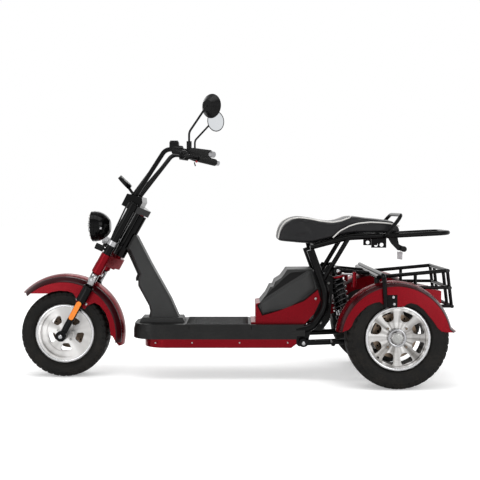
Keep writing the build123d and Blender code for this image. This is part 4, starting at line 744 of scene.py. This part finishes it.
# Tyres: a section from side wall to crown, mirrored and turned about the axle, with grooves and notches
tyreSection = (
    # share of the half width, share of the height over the foot
    (0.66, 0.0), (0.84, 0.10), (0.95, 0.26), (0.995, 0.46), (0.985, 0.68), (0.94, 0.84), (0.86, 0.94),
    (0.66, 0.985), (0.33, 0.997), (0.0, 1.0),
)
frontTyre = {"radius": 0.2129, "halfWidth": 0.0772, "foot": 0.1435, "bead": 0.1275, "beadHalf": 0.0485}
rearTyre = {"radius": 0.2349, "halfWidth": 0.0722, "foot": 0.1485, "bead": 0.1345, "beadHalf": 0.0485}
tread = {
    "rows": 60, "steps": 320, "blocks": 40, "depth": 0.0048, "ring": 0.0012,
    # below are shares of the half width, of the height or of a block's length
    "groove": 0.22, "grooveSwing": 0.16, "grooveWidth": 0.045, "grooveAbove": 0.9,
    "slant": 0.9, "notchWidth": 0.15, "notchFrom": 0.5, "notchAbove": 0.66,
    "rings": (0.16, 0.3, 0.66), "ringWidth": 0.018, "ringsBelow": 0.8,
    # how steeply a notch starts from the side and from below, and how far it cuts into the side wall
    "notchSide": 8, "notchRise": 12, "notchDraw": 0.4,
}


def buildTyre(name, tyre, centre, body, node):
    half = smoothPath(tyreSection, tread["rows"])
    share = np.concatenate([half, (half * (-1, 1))[::-1][1:]])
    angle = evenAngles(tread["steps"])
    width, level = share[:, 0:1], share[:, 1:2]
    side = np.abs(width)
    turn = angle[None, :] * tread["blocks"] / (2 * np.pi)
    # grooves: two zigzag lines round the crown; notches: slanted cuts from each shoulder inwards
    zigzag = np.abs((turn % 1) - 0.5) * tread["grooveSwing"]
    groove = np.exp(-(((side - tread["groove"] - zigzag) / tread["grooveWidth"]) ** 4))
    groove = groove * (level > tread["grooveAbove"])
    slant = (turn + side * tread["slant"]) % 1
    notch = ((np.abs(slant - 0.5) < tread["notchWidth"])
             * np.clip((side - tread["notchFrom"]) * tread["notchSide"], 0, 1)
             * np.clip((level - tread["notchAbove"]) * tread["notchRise"], 0, 1))
    cut = np.maximum(groove, notch) * tread["depth"]
    rings = sum(np.exp(-(((level - at) / tread["ringWidth"]) ** 2)) for at in tread["rings"]) * tread["ring"]
    radius = tyre["foot"] + (tyre["radius"] - tyre["foot"]) * level - cut
    across = width * tyre["halfWidth"] - np.sign(width) * cut * tread["notchDraw"]
    across = across - np.sign(width) * (tread["ring"] - rings) * (level < tread["ringsBelow"])
    # two more rows inside the rim, at the bead, close the section
    foot = (2, tread["steps"])
    radius = np.concatenate([radius, np.full(foot, tyre["bead"])])
    across = np.concatenate([across, np.full(foot, [[-tyre["beadHalf"]], [tyre["beadHalf"]]])])
    points = np.stack([radius * np.cos(angle), across, radius * np.sin(angle)], -1) + centre
    putPiece(name, [(points, gridQuads(len(radius), tread["steps"], loopRows=True))], body, "tyre_rubber",
             replaces=(node,))


buildTyre("frontTyre", frontTyre, frontAxle, "front_wheel", "front_tyre")
for sideName, side in sides.items():
    buildTyre("rearTyre" + sideName, rearTyre, mirrored(rearAxle, side), "rear_wheel_" + sideName.lower(),
              "rear_tyre_" + sideName.lower())
print("tyres built")

# Wheel trim: a polished lip on each rim, a ring, a cap and nuts at the hub, a valve and drilled discs.
# A profile is (outwards along the axle from the wheel's middle, radius).
lip = {"inner": 0.1365, "outer": 0.1474, "face": 0.0578, "rear": 0.054, "soft": 0.0015, "step": 0.001,
       "rise": 0.0008}
rearHub = {
    "ring": [(0.036, 0.0), (0.036, 0.0425), (0.0395, 0.0425), (0.0415, 0.0405), (0.0415, 0.0335),
             (0.0395, 0.0315), (0.0395, 0.0)],
    "cap": [(0.047, 0.0), (0.047, 0.0265), (0.0485, 0.0265), (0.0505, 0.0235), (0.051, 0.018), (0.0514, 0.0)],
    "nut": [(0, 0), (0, 0.0052), (0.0012, 0.0056), (0.0032, 0.0046), (0.004, 0.0)],
    "nutAngles": (45, 135, 225, 315), "nutCircle": 0.060, "nutFace": 0.0325,
    "valve": [(-0.03, 0.0), (-0.03, 0.0045), (0.0, 0.0038), (0.0005, 0.003), (0.004, 0.003), (0.004, 0.0)],
    "valvePlace": (0.088, 0.052, -0.088),
}
frontHub = {
    "lip": [(0.0535, 0.1315), (0.0566, 0.1315), (0.0572, 0.1335), (0.0574, 0.137), (0.057, 0.1405),
            (0.056, 0.1422), (0.0535, 0.1424), (0.0535, 0.1315)],
    "bolt": [(0, 0), (0, 0.0058), (0.004, 0.0058), (0.005, 0.0048), (0.005, 0.0)],
    "boltAngles": (18, 90, 162, 234, 306), "boltCircle": 0.040, "boltFace": 0.0362,
}
discHole = {
    "rear": {"size": 0.0045, "thick": 0.0006, "circles": (0.092, 0.080)},
    "front": {"size": 0.0042, "thick": 0.0005, "circles": (0.082, 0.071)},
}
rearDiscFace = -0.0338  # on the wheel's inner side
frontDiscFaces = (("Outer", -0.0842, -1), ("Inner", -0.0798, 1))


def discHoles(kind, centre, face, outward):
    # Dark dots on a disc's face, one each 15 degrees, on two circles in turn
    hole = discHole[kind]
    angle = np.radians(np.arange(0, 360, 15))
    radius = np.where(np.arange(len(angle)) % 2 == 0, *hole["circles"])
    dot = lathe([(0, 0), (0, hole["size"]), (hole["thick"], hole["size"]), (hole["thick"], 0.0)], steps=10)
    return stamp(dot, axleCircle(centre, angle, radius, face), [(0, outward, 0)] * len(angle))


def rearTrim(sideName, side):
    body = "rear_wheel_" + sideName.lower()
    centre, out = mirrored(rearAxle, side), (0, side, 0)
    inner, outer, face, rear = [lip[key] for key in ("inner", "outer", "face", "rear")]
    lipProfile = [(rear, inner), (face - lip["step"], inner), (face, inner + lip["soft"]),
                  (face + lip["rise"], (inner + outer) / 2), (face, outer - lip["soft"]),
                  (face - lip["soft"], outer), (rear, outer), (rear, inner)]
    putPiece("rimLip" + sideName, [lathe(lipProfile, centre, out, 128)], body, "wheel_alloy", "polished_lip")
    putPiece("hubRing" + sideName, [lathe(rearHub["ring"], centre, out, 64)], body, "chrome_trim")
    putPiece("hubCap" + sideName, [lathe(rearHub["cap"], centre, out, 8)], body, "wheel_silver", "nut_steel",
             smooth=False)
    nutPlaces = axleCircle(centre, np.radians(rearHub["nutAngles"]), rearHub["nutCircle"],
                           side * rearHub["nutFace"])
    nuts = stamp(lathe(rearHub["nut"], steps=16), nutPlaces, [out] * len(nutPlaces))
    putPiece("wheelNuts" + sideName, [nuts], body, "disc_steel")
    putPiece("discHoles" + sideName, [discHoles("rear", centre, side * rearDiscFace, side)], body,
             "disc_steel", "gloss_black")
    valve = lathe(rearHub["valve"], centre + mirrored(rearHub["valvePlace"], side), out, 12)
    putPiece("valve" + sideName, [valve], body, "tyre_rubber")


for sideName, side in sides.items():
    rearTrim(sideName, side)
for sideName, side in sides.items():
    putPiece("frontLip" + sideName, [lathe(frontHub["lip"], frontAxle, (0, side, 0), 128)], "front_wheel",
             "wheel_silver", "polished_lip")
boltPlaces = axleCircle(frontAxle, np.radians(frontHub["boltAngles"]), frontHub["boltCircle"],
                        frontHub["boltFace"])
hubBolts = stamp(lathe(frontHub["bolt"], steps=6), boltPlaces, [(0, 1, 0)] * len(boltPlaces))
putPiece("frontHubBolts", [hubBolts], "front_wheel", "chrome_trim", "nut_steel", smooth=False)
for label, face, outward in frontDiscFaces:
    putPiece("frontDiscHoles" + label, [discHoles("front", frontAxle, face, outward)], "front_wheel",
             "disc_steel", "gloss_black")
print("wheel trim built")

# Shocks: a wire along a helix between the two cups, a red collar, a black tube inside, eyes at the ends
spring = {"from": 0.165, "to": 0.878, "inset": 0.02, "coil": 0.0235, "wire": 0.0044, "turns": 7.5,
          "points": 241}
shock = {
    "collar": [(-0.004, 0.0), (-0.004, 0.029), (0.0, 0.0295), (0.004, 0.029), (0.004, 0.0)],
    "collarAt": 0.895, "tubeFrom": 0.165, "tubeTo": 0.875, "tube": 0.0176, "tubeEdge": 0.004,
    "eye": [(-0.0125, 0.0), (-0.0125, 0.019), (-0.0105, 0.0212), (0.0105, 0.0212), (0.0125, 0.019),
            (0.0125, 0.0)],
}


def helix(low, high):
    # Point = line from foot to top, plus coil radius * (cos, sin) of the turn in the plane square to the line
    share = np.linspace(0, 1, spring["points"])
    inner = share * (1 - 2 * spring["inset"]) + spring["inset"]
    along = spring["from"] + (spring["to"] - spring["from"]) * inner
    axis, first, second = sideFrame(high - low)
    coil = spring["coil"] * circle(share * spring["turns"] * 2 * np.pi, first, second)
    return pipe(low + along[:, None] * (high - low) + coil, spring["wire"], up=axis, around=10)


shockLines = [(mirrored(shockFoot, side), mirrored(shockTop, side)) for side in (1, -1)]
putPiece("coilSprings", [helix(low, high) for low, high in shockLines], "root", "gloss_black", "spring_black",
         replaces=("shock_springs",))
collars = [lathe(shock["collar"], low + (high - low) * shock["collarAt"], high - low, 40)
           for low, high in shockLines]
putPiece("shockCollars", collars, "root", "candy_red")
tubes = [sleeve(low, high, shock["tubeFrom"], shock["tubeTo"], shock["tube"], shock["tubeEdge"])
         for low, high in shockLines]
putPiece("shockSleeves", tubes, "root", "gloss_black")
eyes = [lathe(shock["eye"], mirrored(place, side), (0, side, 0), 36)
        for side in (1, -1) for place in (shockTop, shockFoot)]
putPiece("shockEyes", eyes, "root", "gloss_black")
print("shocks built")

# Saddle: closed loops along its length, a squared circle between its bottom and top lines, puffed as cloth
saddle = {
    # lines seen from the side (x, z), and half the width at x
    "top": ((-0.209, 0.690), (-0.213, 0.712), (-0.222, 0.738), (-0.240, 0.764), (-0.270, 0.781),
            (-0.310, 0.787), (-0.360, 0.781), (-0.420, 0.768), (-0.470, 0.763), (-0.510, 0.770),
            (-0.550, 0.785), (-0.575, 0.788), (-0.620, 0.781), (-0.700, 0.773), (-0.760, 0.766),
            (-0.785, 0.757), (-0.797, 0.735)),
    "bottom": ((-0.209, 0.674), (-0.222, 0.667), (-0.330, 0.657), (-0.372, 0.656), (-0.470, 0.682),
               (-0.530, 0.700), (-0.590, 0.707), (-0.797, 0.707)),
    "half": ((-0.209, 0.118), (-0.222, 0.133), (-0.260, 0.143), (-0.400, 0.146), (-0.700, 0.144),
             (-0.780, 0.134), (-0.797, 0.118)),
    "front": -0.209, "length": 0.588, "rows": 64, "around": 56,
    "square": 0.3, "inset": 0.004, "lift": 0.0012, "draw": 0.07, "crown": 0.007,
    "voxel": 0.006, "pressure": 4.0, "frames": 20, "cap": 0.007,
    "still": 0.004, "free": 0.03,  # heights over the bottom line where the cloth holds still and moves freely
}


def saddleLine(key, x):
    knots = smoothPath(saddle[key], 120)
    return np.interp(-x, -knots[:, 0], knots[:, 1])


def buildSaddle():
    # x runs back from the front in steps that close up at both ends: front - length * (1 - cos) / 2
    x = saddle["front"] - saddle["length"] * (1 - np.cos(np.linspace(0, np.pi, saddle["rows"]))) / 2
    top = saddleLine("top", x) - saddle["inset"]
    bottom = saddleLine("bottom", x) + saddle["lift"]
    half = saddleLine("half", x) - saddle["inset"]
    angle = evenAngles(saddle["around"])
    across, up = squared(np.cos(angle), saddle["square"]), squared(np.sin(angle), saddle["square"])
    # the sides draw in toward the bottom, and the top falls a little toward its edges
    y = half[:, None] * across * (1 - saddle["draw"] * (1 - up) / 2)
    middle, reach = (top + bottom) / 2, (top - bottom) / 2
    z = middle[:, None] + reach[:, None] * up - np.clip(up, 0, 1) * saddle["crown"] * across ** 2
    points = closeEnds(np.stack([np.broadcast_to(x[:, None], y.shape), y, z], -1))
    piece = putPiece("saddle", [(points, gridQuads(len(points), saddle["around"]))], "root", "seat_leather",
                     replaces=("seat_cushion",))
    puff(piece)
    return piece


def puff(piece):
    # Remesh, let cloth pressure fill the shape, keep each point's way under the cap and the foot still
    scene = bpy.context.scene
    remesh = piece.modifiers.new("even", "REMESH")
    remesh.mode = "VOXEL"
    remesh.voxel_size = saddle["voxel"]
    evened = bpy.data.meshes.new_from_object(piece.evaluated_get(bpy.context.evaluated_depsgraph_get()))
    piece.modifiers.clear()
    piece.data = evened
    rest = np.empty(len(evened.vertices) * 3)
    evened.vertices.foreach_get("co", rest)
    cloth = piece.modifiers.new("fill", "CLOTH")
    cloth.settings.use_pressure = True
    cloth.settings.uniform_pressure_force = saddle["pressure"]
    cloth.settings.effector_weights.gravity = 0
    for number in range(1, saddle["frames"] + 1):
        scene.frame_set(number)
    filled = piece.evaluated_get(bpy.context.evaluated_depsgraph_get()).to_mesh()
    moved = np.empty(len(rest))
    filled.vertices.foreach_get("co", moved)
    piece.modifiers.clear()
    scene.frame_set(1)
    rest, moved = rest.reshape(-1, 3), moved.reshape(-1, 3)
    step = moved - rest
    length = np.linalg.norm(step, axis=1, keepdims=True)
    step *= np.minimum(1, saddle["cap"] / np.maximum(length, 1e-9))
    height = rest[:, 2] - saddleLine("bottom", rest[:, 0])
    hold = np.clip((height - saddle["still"]) / saddle["free"], 0, 1)[:, None]
    evened.vertices.foreach_set("co", (rest + step * hold).ravel())
    finish = piece.modifiers.new("finish", "SUBSURF")
    finish.levels = finish.render_levels = 1
    evened.shade_smooth()
    evened.update()


seat = buildSaddle()

# Piping: white welts along the front part's edge, along each side and across the step
piping = {
    # lines seen from the side (x, z)
    "edge": ((-0.211, 0.684), (-0.214, 0.712), (-0.224, 0.739), (-0.243, 0.764), (-0.272, 0.780),
             (-0.310, 0.785), (-0.360, 0.779), (-0.420, 0.767), (-0.470, 0.762), (-0.510, 0.769),
             (-0.548, 0.783)),
    "arc": ((-0.470, 0.687), (-0.504, 0.719), (-0.552, 0.744), (-0.590, 0.755), (-0.648, 0.761),
            (-0.700, 0.759), (-0.748, 0.754), (-0.790, 0.742)),
    "edgeRadius": 0.0034, "edgeInset": 0.011, "edgeSink": 0.0015, "radius": 0.0032, "arcLift": 0.0005,
    "crossX": -0.549, "crossBow": 0.022, "crossHalfAt": -0.551, "crossZ": 0.7815, "crossRise": 0.006,
}
pipes = []
edge = smoothPath(piping["edge"], 90)
arc = smoothPath(piping["arc"], 70)
edgeHalf = saddleLine("half", edge[:, 0]) - piping["edgeInset"]
arcHalf = saddleLine("half", arc[:, 0]) + piping["arcLift"]
for side in (1, -1):
    pipes.append(pipe(np.stack([edge[:, 0], side * edgeHalf, edge[:, 1] - piping["edgeSink"]], -1),
                      piping["edgeRadius"]))
    pipes.append(pipe(np.stack([arc[:, 0], side * arcHalf, arc[:, 1]], -1), piping["radius"]))
across = np.linspace(-1, 1, 41)
crossHalf = saddleLine("half", np.array([piping["crossHalfAt"]]))[0] - piping["edgeInset"]
crossing = np.stack([piping["crossX"] - piping["crossBow"] * (1 - across ** 2), across * crossHalf,
                     piping["crossZ"] + piping["crossRise"] * (1 - across ** 4)], -1)
pipes.append(pipe(crossing, piping["radius"], up=(1, 0, 0.01)))
putPiece("saddlePiping", pipes, "root", "seat_leather", "piping_white")
print("saddle built")

# Painted reflection on the fenders: a dark band along the arch on each side of the crown, standing in for the
# dark surroundings that the glossy red crown reflects, and a flick at the rear ones' tails
frontFender = {"half": 0.092, "shoulder": 0.255, "crown": 0.291, "from": 47, "to": 189}
rearFender = {"half": 0.0825, "shoulder": 0.247, "crown": 0.268, "from": 9, "to": 163, "tail": 0.022}
rearFenderCentre = (-0.732, 0.302, 0.228)
band = {"lift": 0.0008, "wall": 0.0014, "reach": 0.42, "across": 7, "rows": 120, "tailSteps": 5, "flick": 40}


def fenderBand(fender, centre, side):
    # Section from the shoulder toward the crown on the arch r(y) = crown - R + sqrt(R^2 - y^2), carried round
    # the centre; a tail runs straight on from the end, then flicks back
    rise = fender["crown"] - fender["shoulder"]
    big = (fender["half"] ** 2 + rise ** 2) / (2 * rise)
    across = fender["half"] * (1 - band["reach"] * np.linspace(0, 1, band["across"]))
    radius = fender["crown"] - big + np.sqrt(big ** 2 - across ** 2)
    loop = np.concatenate([np.stack([across, radius + band["lift"]], -1),
                           np.stack([across, radius - band["wall"] + band["lift"]], -1)[::-1]])
    angle = np.radians(np.linspace(fender["from"], fender["to"], band["rows"]))
    shift = np.zeros((band["rows"], 2))
    if "tail" in fender:
        end, flick = angle[-1], np.radians(band["flick"])
        down = fender["tail"] * np.array((-np.sin(end), np.cos(end)))
        back = fender["tail"] * np.array((-np.cos(flick), -np.sin(flick)))
        steps = np.linspace(0.2, 1, band["tailSteps"])[:, None]
        angle = np.concatenate([angle, np.full(2 * band["tailSteps"], end)])
        shift = np.concatenate([shift, steps * down, down + steps * back])
    x = centre[0] + shift[:, 0, None] + np.cos(angle)[:, None] * loop[:, 1]
    z = centre[2] + shift[:, 1, None] + np.sin(angle)[:, None] * loop[:, 1]
    y = np.broadcast_to(centre[1] + side * loop[:, 0], x.shape)
    points = closeEnds(np.stack([x, y, z], -1))
    return points, gridQuads(len(points), points.shape[1])


def putBands(name, fender, centre, body):
    putPiece(name, [fenderBand(fender, centre, side) for side in (1, -1)], body, "candy_red", "painted_dark_reflection")


# the bands are painted reflection: dark where the glossy red crown reflects dark surroundings
putBands("frontFenderDarkReflection", frontFender, frontAxle, "steering")
for sideName, side in sides.items():
    putBands("rear" + sideName + "FenderDarkReflection", rearFender, mirrored(rearFenderCentre, side), "root")
print("fender reflection bands built")

# Fasteners that face outwards, the same on both sides
domeHead = lathe([(0, 0), (0, 0.0072), (0.0018, 0.007), (0.0036, 0.0052), (0.0044, 0.0026), (0.0046, 0.0)],
                 steps=18)
rivet = lathe([(0, 0), (0, 0.0042), (0.0012, 0.0038), (0.002, 0.002), (0.0022, 0.0)], steps=14)
bigDome = lathe([(0, 0), (0, 0.0105), (0.0015, 0.0105), (0.0028, 0.0088), (0.0055, 0.0072), (0.0072, 0.004),
                 (0.0078, 0.0)], steps=24)
fasteners = (
    # name, form, body, finish, places on the left
    ("stayBolts", domeHead, "root", "chrome_trim", [(-0.717, 0.3887, 0.4275), (-0.721, 0.3887, 0.396)]),
    ("fenderBolts", domeHead, "steering", "chrome_trim", [(0.7656, 0.0921, 0.386), (0.7225, 0.0921, 0.3614)]),
    ("skirtRivets", rivet, "root", "nut_steel", [(x, 0.1501, 0.182) for x in (0.380, 0.204, -0.024, -0.255)]),
    ("axleCaps", bigDome, "steering", "chrome_trim", [(frontAxle[0], 0.1622, frontAxle[2])]),
    ("pivotCaps", bigDome, "root", "chrome_trim", [(-0.3305, 0.1702, 0.182)]),
    ("coverRivets", domeHead, "root", "nut_steel",
     [(-0.3925, 0.1101, 0.3904), (-0.456, 0.0951, 0.464), (-0.418, 0.0951, 0.2714)]),
    ("shockNuts", bigDome, "root", "chrome_trim", [(shockTop[0], 0.1722, shockTop[2])]),
    ("lampBolts", domeHead, "steering", "chrome_trim", [(0.653, 0.0652, 0.7295)]),
)
for name, form, body, finish, leftPlaces in fasteners:
    places = [mirrored(place, side) for side in (1, -1) for place in leftPlaces]
    putPiece(name, [stamp(form, places, [(0, place[1], 0) for place in places])], body, "chrome_trim", finish)
print("fasteners built")

# Fork: chrome on the lower legs and a black seal at the top of each, by distance along the steering axis
fork = {"head": (0.464, 0.792), "rake": 29, "forward": 0.0425, "half": 0.128,
        "chrome": (-0.4165, -0.3385), "chromeRadius": 0.0197, "chromeEdge": 0.002,
        "seal": (-0.424, -0.414), "sealRadius": 0.0257, "sealEdge": 0.004}


def onFork(along, side):
    # head + along * the axis, which leans back by the rake, + forward * the direction square to it
    sine, cosine = np.sin(np.radians(fork["rake"])), np.cos(np.radians(fork["rake"]))
    x = fork["head"][0] - along * sine + fork["forward"] * cosine
    z = fork["head"][1] + along * cosine + fork["forward"] * sine
    return np.array((x, side * fork["half"], z))


def forkRings(part):
    low, high = fork[part]
    radius, edge = fork[part + "Radius"], fork[part + "Edge"]
    return [sleeve(onFork(low, side), onFork(high, side), 0, 1, radius, edge, 40) for side in (1, -1)]


putPiece("forkChrome", forkRings("chrome"), "steering", "chrome_trim")
putPiece("forkSeals", forkRings("seal"), "steering", "gloss_black")
print("fork trim built")

# Panels on the cover's sides, and over the upper part of each a dark plate of painted shade: outline (x, z),
# distance of the outer face from the middle, soft edge
coverInner = 0.104
coverPlates = (
    ("coverPanels", "grey_plastic", 0.1092, 0.003,
     [(-0.124, 0.366), (-0.369, 0.526), (-0.392, 0.436), (-0.3164, 0.378), (-0.2584, 0.344),
      (-0.1346, 0.317)]),
    # coverShade is painted shade: a dark plate over the upper part of each cover panel
    ("coverShade", "black_plastic", 0.1058, 0.0006,
     [(-0.135, 0.386), (-0.186, 0.442), (-0.198, 0.450), (-0.234, 0.486), (-0.270, 0.516), (-0.352, 0.526),
      (-0.250, 0.461)]),
)
for name, slotName, outer, edge, outline in coverPlates:
    plates = [plate(outline, side * coverInner, side * outer, edge) for side in (1, -1)]
    putPiece(name, plates, "root", slotName)

# Deck: dark seams in the skirt's sides and ribs along the foot mat
seam = {"at": (0.2185, -0.0811), "half": 0.0012, "inner": 0.1462, "outer": 0.1477, "low": 0.205,
        "high": 0.262, "edge": 0.0004}
rib = {"from": -0.066, "to": 0.232, "points": 8, "reach": 0.125, "count": 21, "z": 0.2702, "radius": 0.0021}
seams = []
for side in (1, -1):
    right, left = sorted((side * seam["inner"], side * seam["outer"]))
    for x in seam["at"]:
        seams.append(softBox((x - seam["half"], right, seam["low"]), (x + seam["half"], left, seam["high"]),
                             seam["edge"], 3))
putPiece("deckSeams", seams, "root", "deck_plastic", "gloss_black")
ribs = []
for y in np.linspace(-rib["reach"], rib["reach"], rib["count"]):
    ribLine = np.linspace((rib["from"], y, rib["z"]), (rib["to"], y, rib["z"]), rib["points"])
    ribs.append(pipe(ribLine, rib["radius"], around=8))
putPiece("matRibs", ribs, "root", "grey_plastic")
print("panels and deck built")

# Headlamp: a bezel ring, two lines round the bowl and a ring of small lamps behind the lens
lamp = {
    "face": np.array((0.702, 0.0, 0.7375)), "tilt": 2, "bezel": (0.0015, 0.0715, 0.0035),
    "bowlLines": ((-0.013, 0.0752, 0.0013), (-0.032, 0.0722, 0.0013)),  # along, radius, size
    "diode": [(0, 0), (0, 0.0052), (0.004, 0.0052), (0.0064, 0.0036), (0.0072, 0.0)],
    "diodes": 16, "diodeCircle": 0.0605, "diodeFace": 0.006,
}
tilt = np.radians(lamp["tilt"])
lampAxis, lampFirst, lampSecond = sideFrame((np.cos(tilt), 0, -np.sin(tilt)))
lampLines = (lamp["bezel"],) + lamp["bowlLines"]
putPiece("lampBezel", [lathe(bead(*line), lamp["face"], lampAxis, 72) for line in lampLines], "steering",
         "gloss_black")
places = (lamp["face"] + lampAxis * lamp["diodeFace"]
          + lamp["diodeCircle"] * circle(evenAngles(lamp["diodes"]), lampFirst, lampSecond))
diodes = stamp(lathe(lamp["diode"], steps=12), places, [lampAxis] * lamp["diodes"])
putPiece("lampDiodes", [diodes], "steering", "lamp_glass", "piping_white")

# Display: a ring and a dark glass that face the rider
display = {
    "place": (0.543, 0.0, 0.955), "lean": 48,
    "ring": [(0.0101, 0.0336), (0.0112, 0.0345), (0.0115, 0.0365), (0.0105, 0.0380), (0.0085, 0.0382),
             (0.0085, 0.0), (0.0101, 0.0336)],
    "glass": [(0.009, 0.0), (0.009, 0.0333), (0.0104, 0.0333), (0.0107, 0.0)],
}
lean = np.radians(display["lean"])
faceOut = (-np.cos(lean), 0, np.sin(lean))
putPiece("displayBezel", [lathe(display["ring"], display["place"], faceOut, 56)], "steering", "chrome_trim",
         "nut_steel")
putPiece("displayGlass", [lathe(display["glass"], display["place"], faceOut, 56)], "steering",
         "black_plastic", "display_glass")
print("lamp and display built")

# Bar controls: a square reservoir with its lid, a round horn disc, a red stop button and a thumb lever
controls = {
    "box": ((0.259, 0.190, 1.096), (0.303, 0.240, 1.139), 0.004),
    "lid": ((0.262, 0.194, 1.138), (0.300, 0.236, 1.1425), 0.0015),
    "horn": [(0, 0), (0, 0.0145), (0.008, 0.0145), (0.010, 0.0125), (0.010, 0.009), (0.0085, 0.008),
             (0.0085, 0.0)],
    "hornPlace": (0.2415, 0.262, 1.0685),
    "button": [(0, 0), (0, 0.0058), (0.006, 0.0058), (0.0085, 0.004), (0.009, 0.0)],
    "buttonPlace": (0.2023, -0.272, 1.0725), "buttonWay": (0.1, 1, -0.1),
    "lever": [(0.2140, -0.276, 1.068), (0.2120, -0.272, 1.058), (0.2082, -0.27, 1.0489)],
    "leverRadius": 0.0032,
}
putPiece("barBox", [softBox(*controls["box"]), softBox(*controls["lid"])], "steering", "black_plastic")
horn = lathe(controls["horn"], controls["hornPlace"], (0, 1, 0), 32)
putPiece("hornDisc", [horn], "steering", "black_plastic", "gloss_black")
button = lathe(controls["button"], controls["buttonPlace"], controls["buttonWay"], 20)
putPiece("stopButton", [button], "steering", "black_plastic", "red_button")
putPiece("thumbLever", [pipe(smoothPath(controls["lever"], 14), controls["leverRadius"])], "steering",
         "black_plastic")

# Grips: ribs round each grip, from its inner end to its tip
grip = {"bend": (0.214, 0.248, 1.092), "tip": (0.102, 0.362, 1.070), "from": 0.128, "to": 0.012, "ribs": 15,
        "radius": 0.0176, "rib": 0.0014}
gripRibs = []
for side in (1, -1):
    bend, tip = mirrored(grip["bend"], side), mirrored(grip["tip"], side)
    length = np.linalg.norm(tip - bend)
    for along in np.linspace(length - grip["from"], length - grip["to"], grip["ribs"]):
        gripRibs.append(lathe(bead(along, grip["radius"], grip["rib"]), bend, tip - bend, 28))
putPiece("gripRibs", gripRibs, "steering", "grip_rubber")

# Hanging tag: a blank card on a thin loop under the rack
tag = {
    "card": [(-0.7935, 0.6165), (-0.8205, 0.6130), (-0.8190, 0.5760), (-0.7945, 0.5800)],
    "inner": 0.0600, "outer": 0.0612, "edge": 0.0004,
    "loop": [(-0.807, 0.0606, 0.6135), (-0.811, 0.0606, 0.621), (-0.8185, 0.0606, 0.628)],
    "loopRadius": 0.0009,
}
putPiece("rackTag", [plate(tag["card"], tag["inner"], tag["outer"], tag["edge"])], "root", "black_plastic",
         "tag_card")
putPiece("tagLoop", [pipe(smoothPath(tag["loop"], 12), tag["loopRadius"])], "root", "black_plastic")
print("controls built")
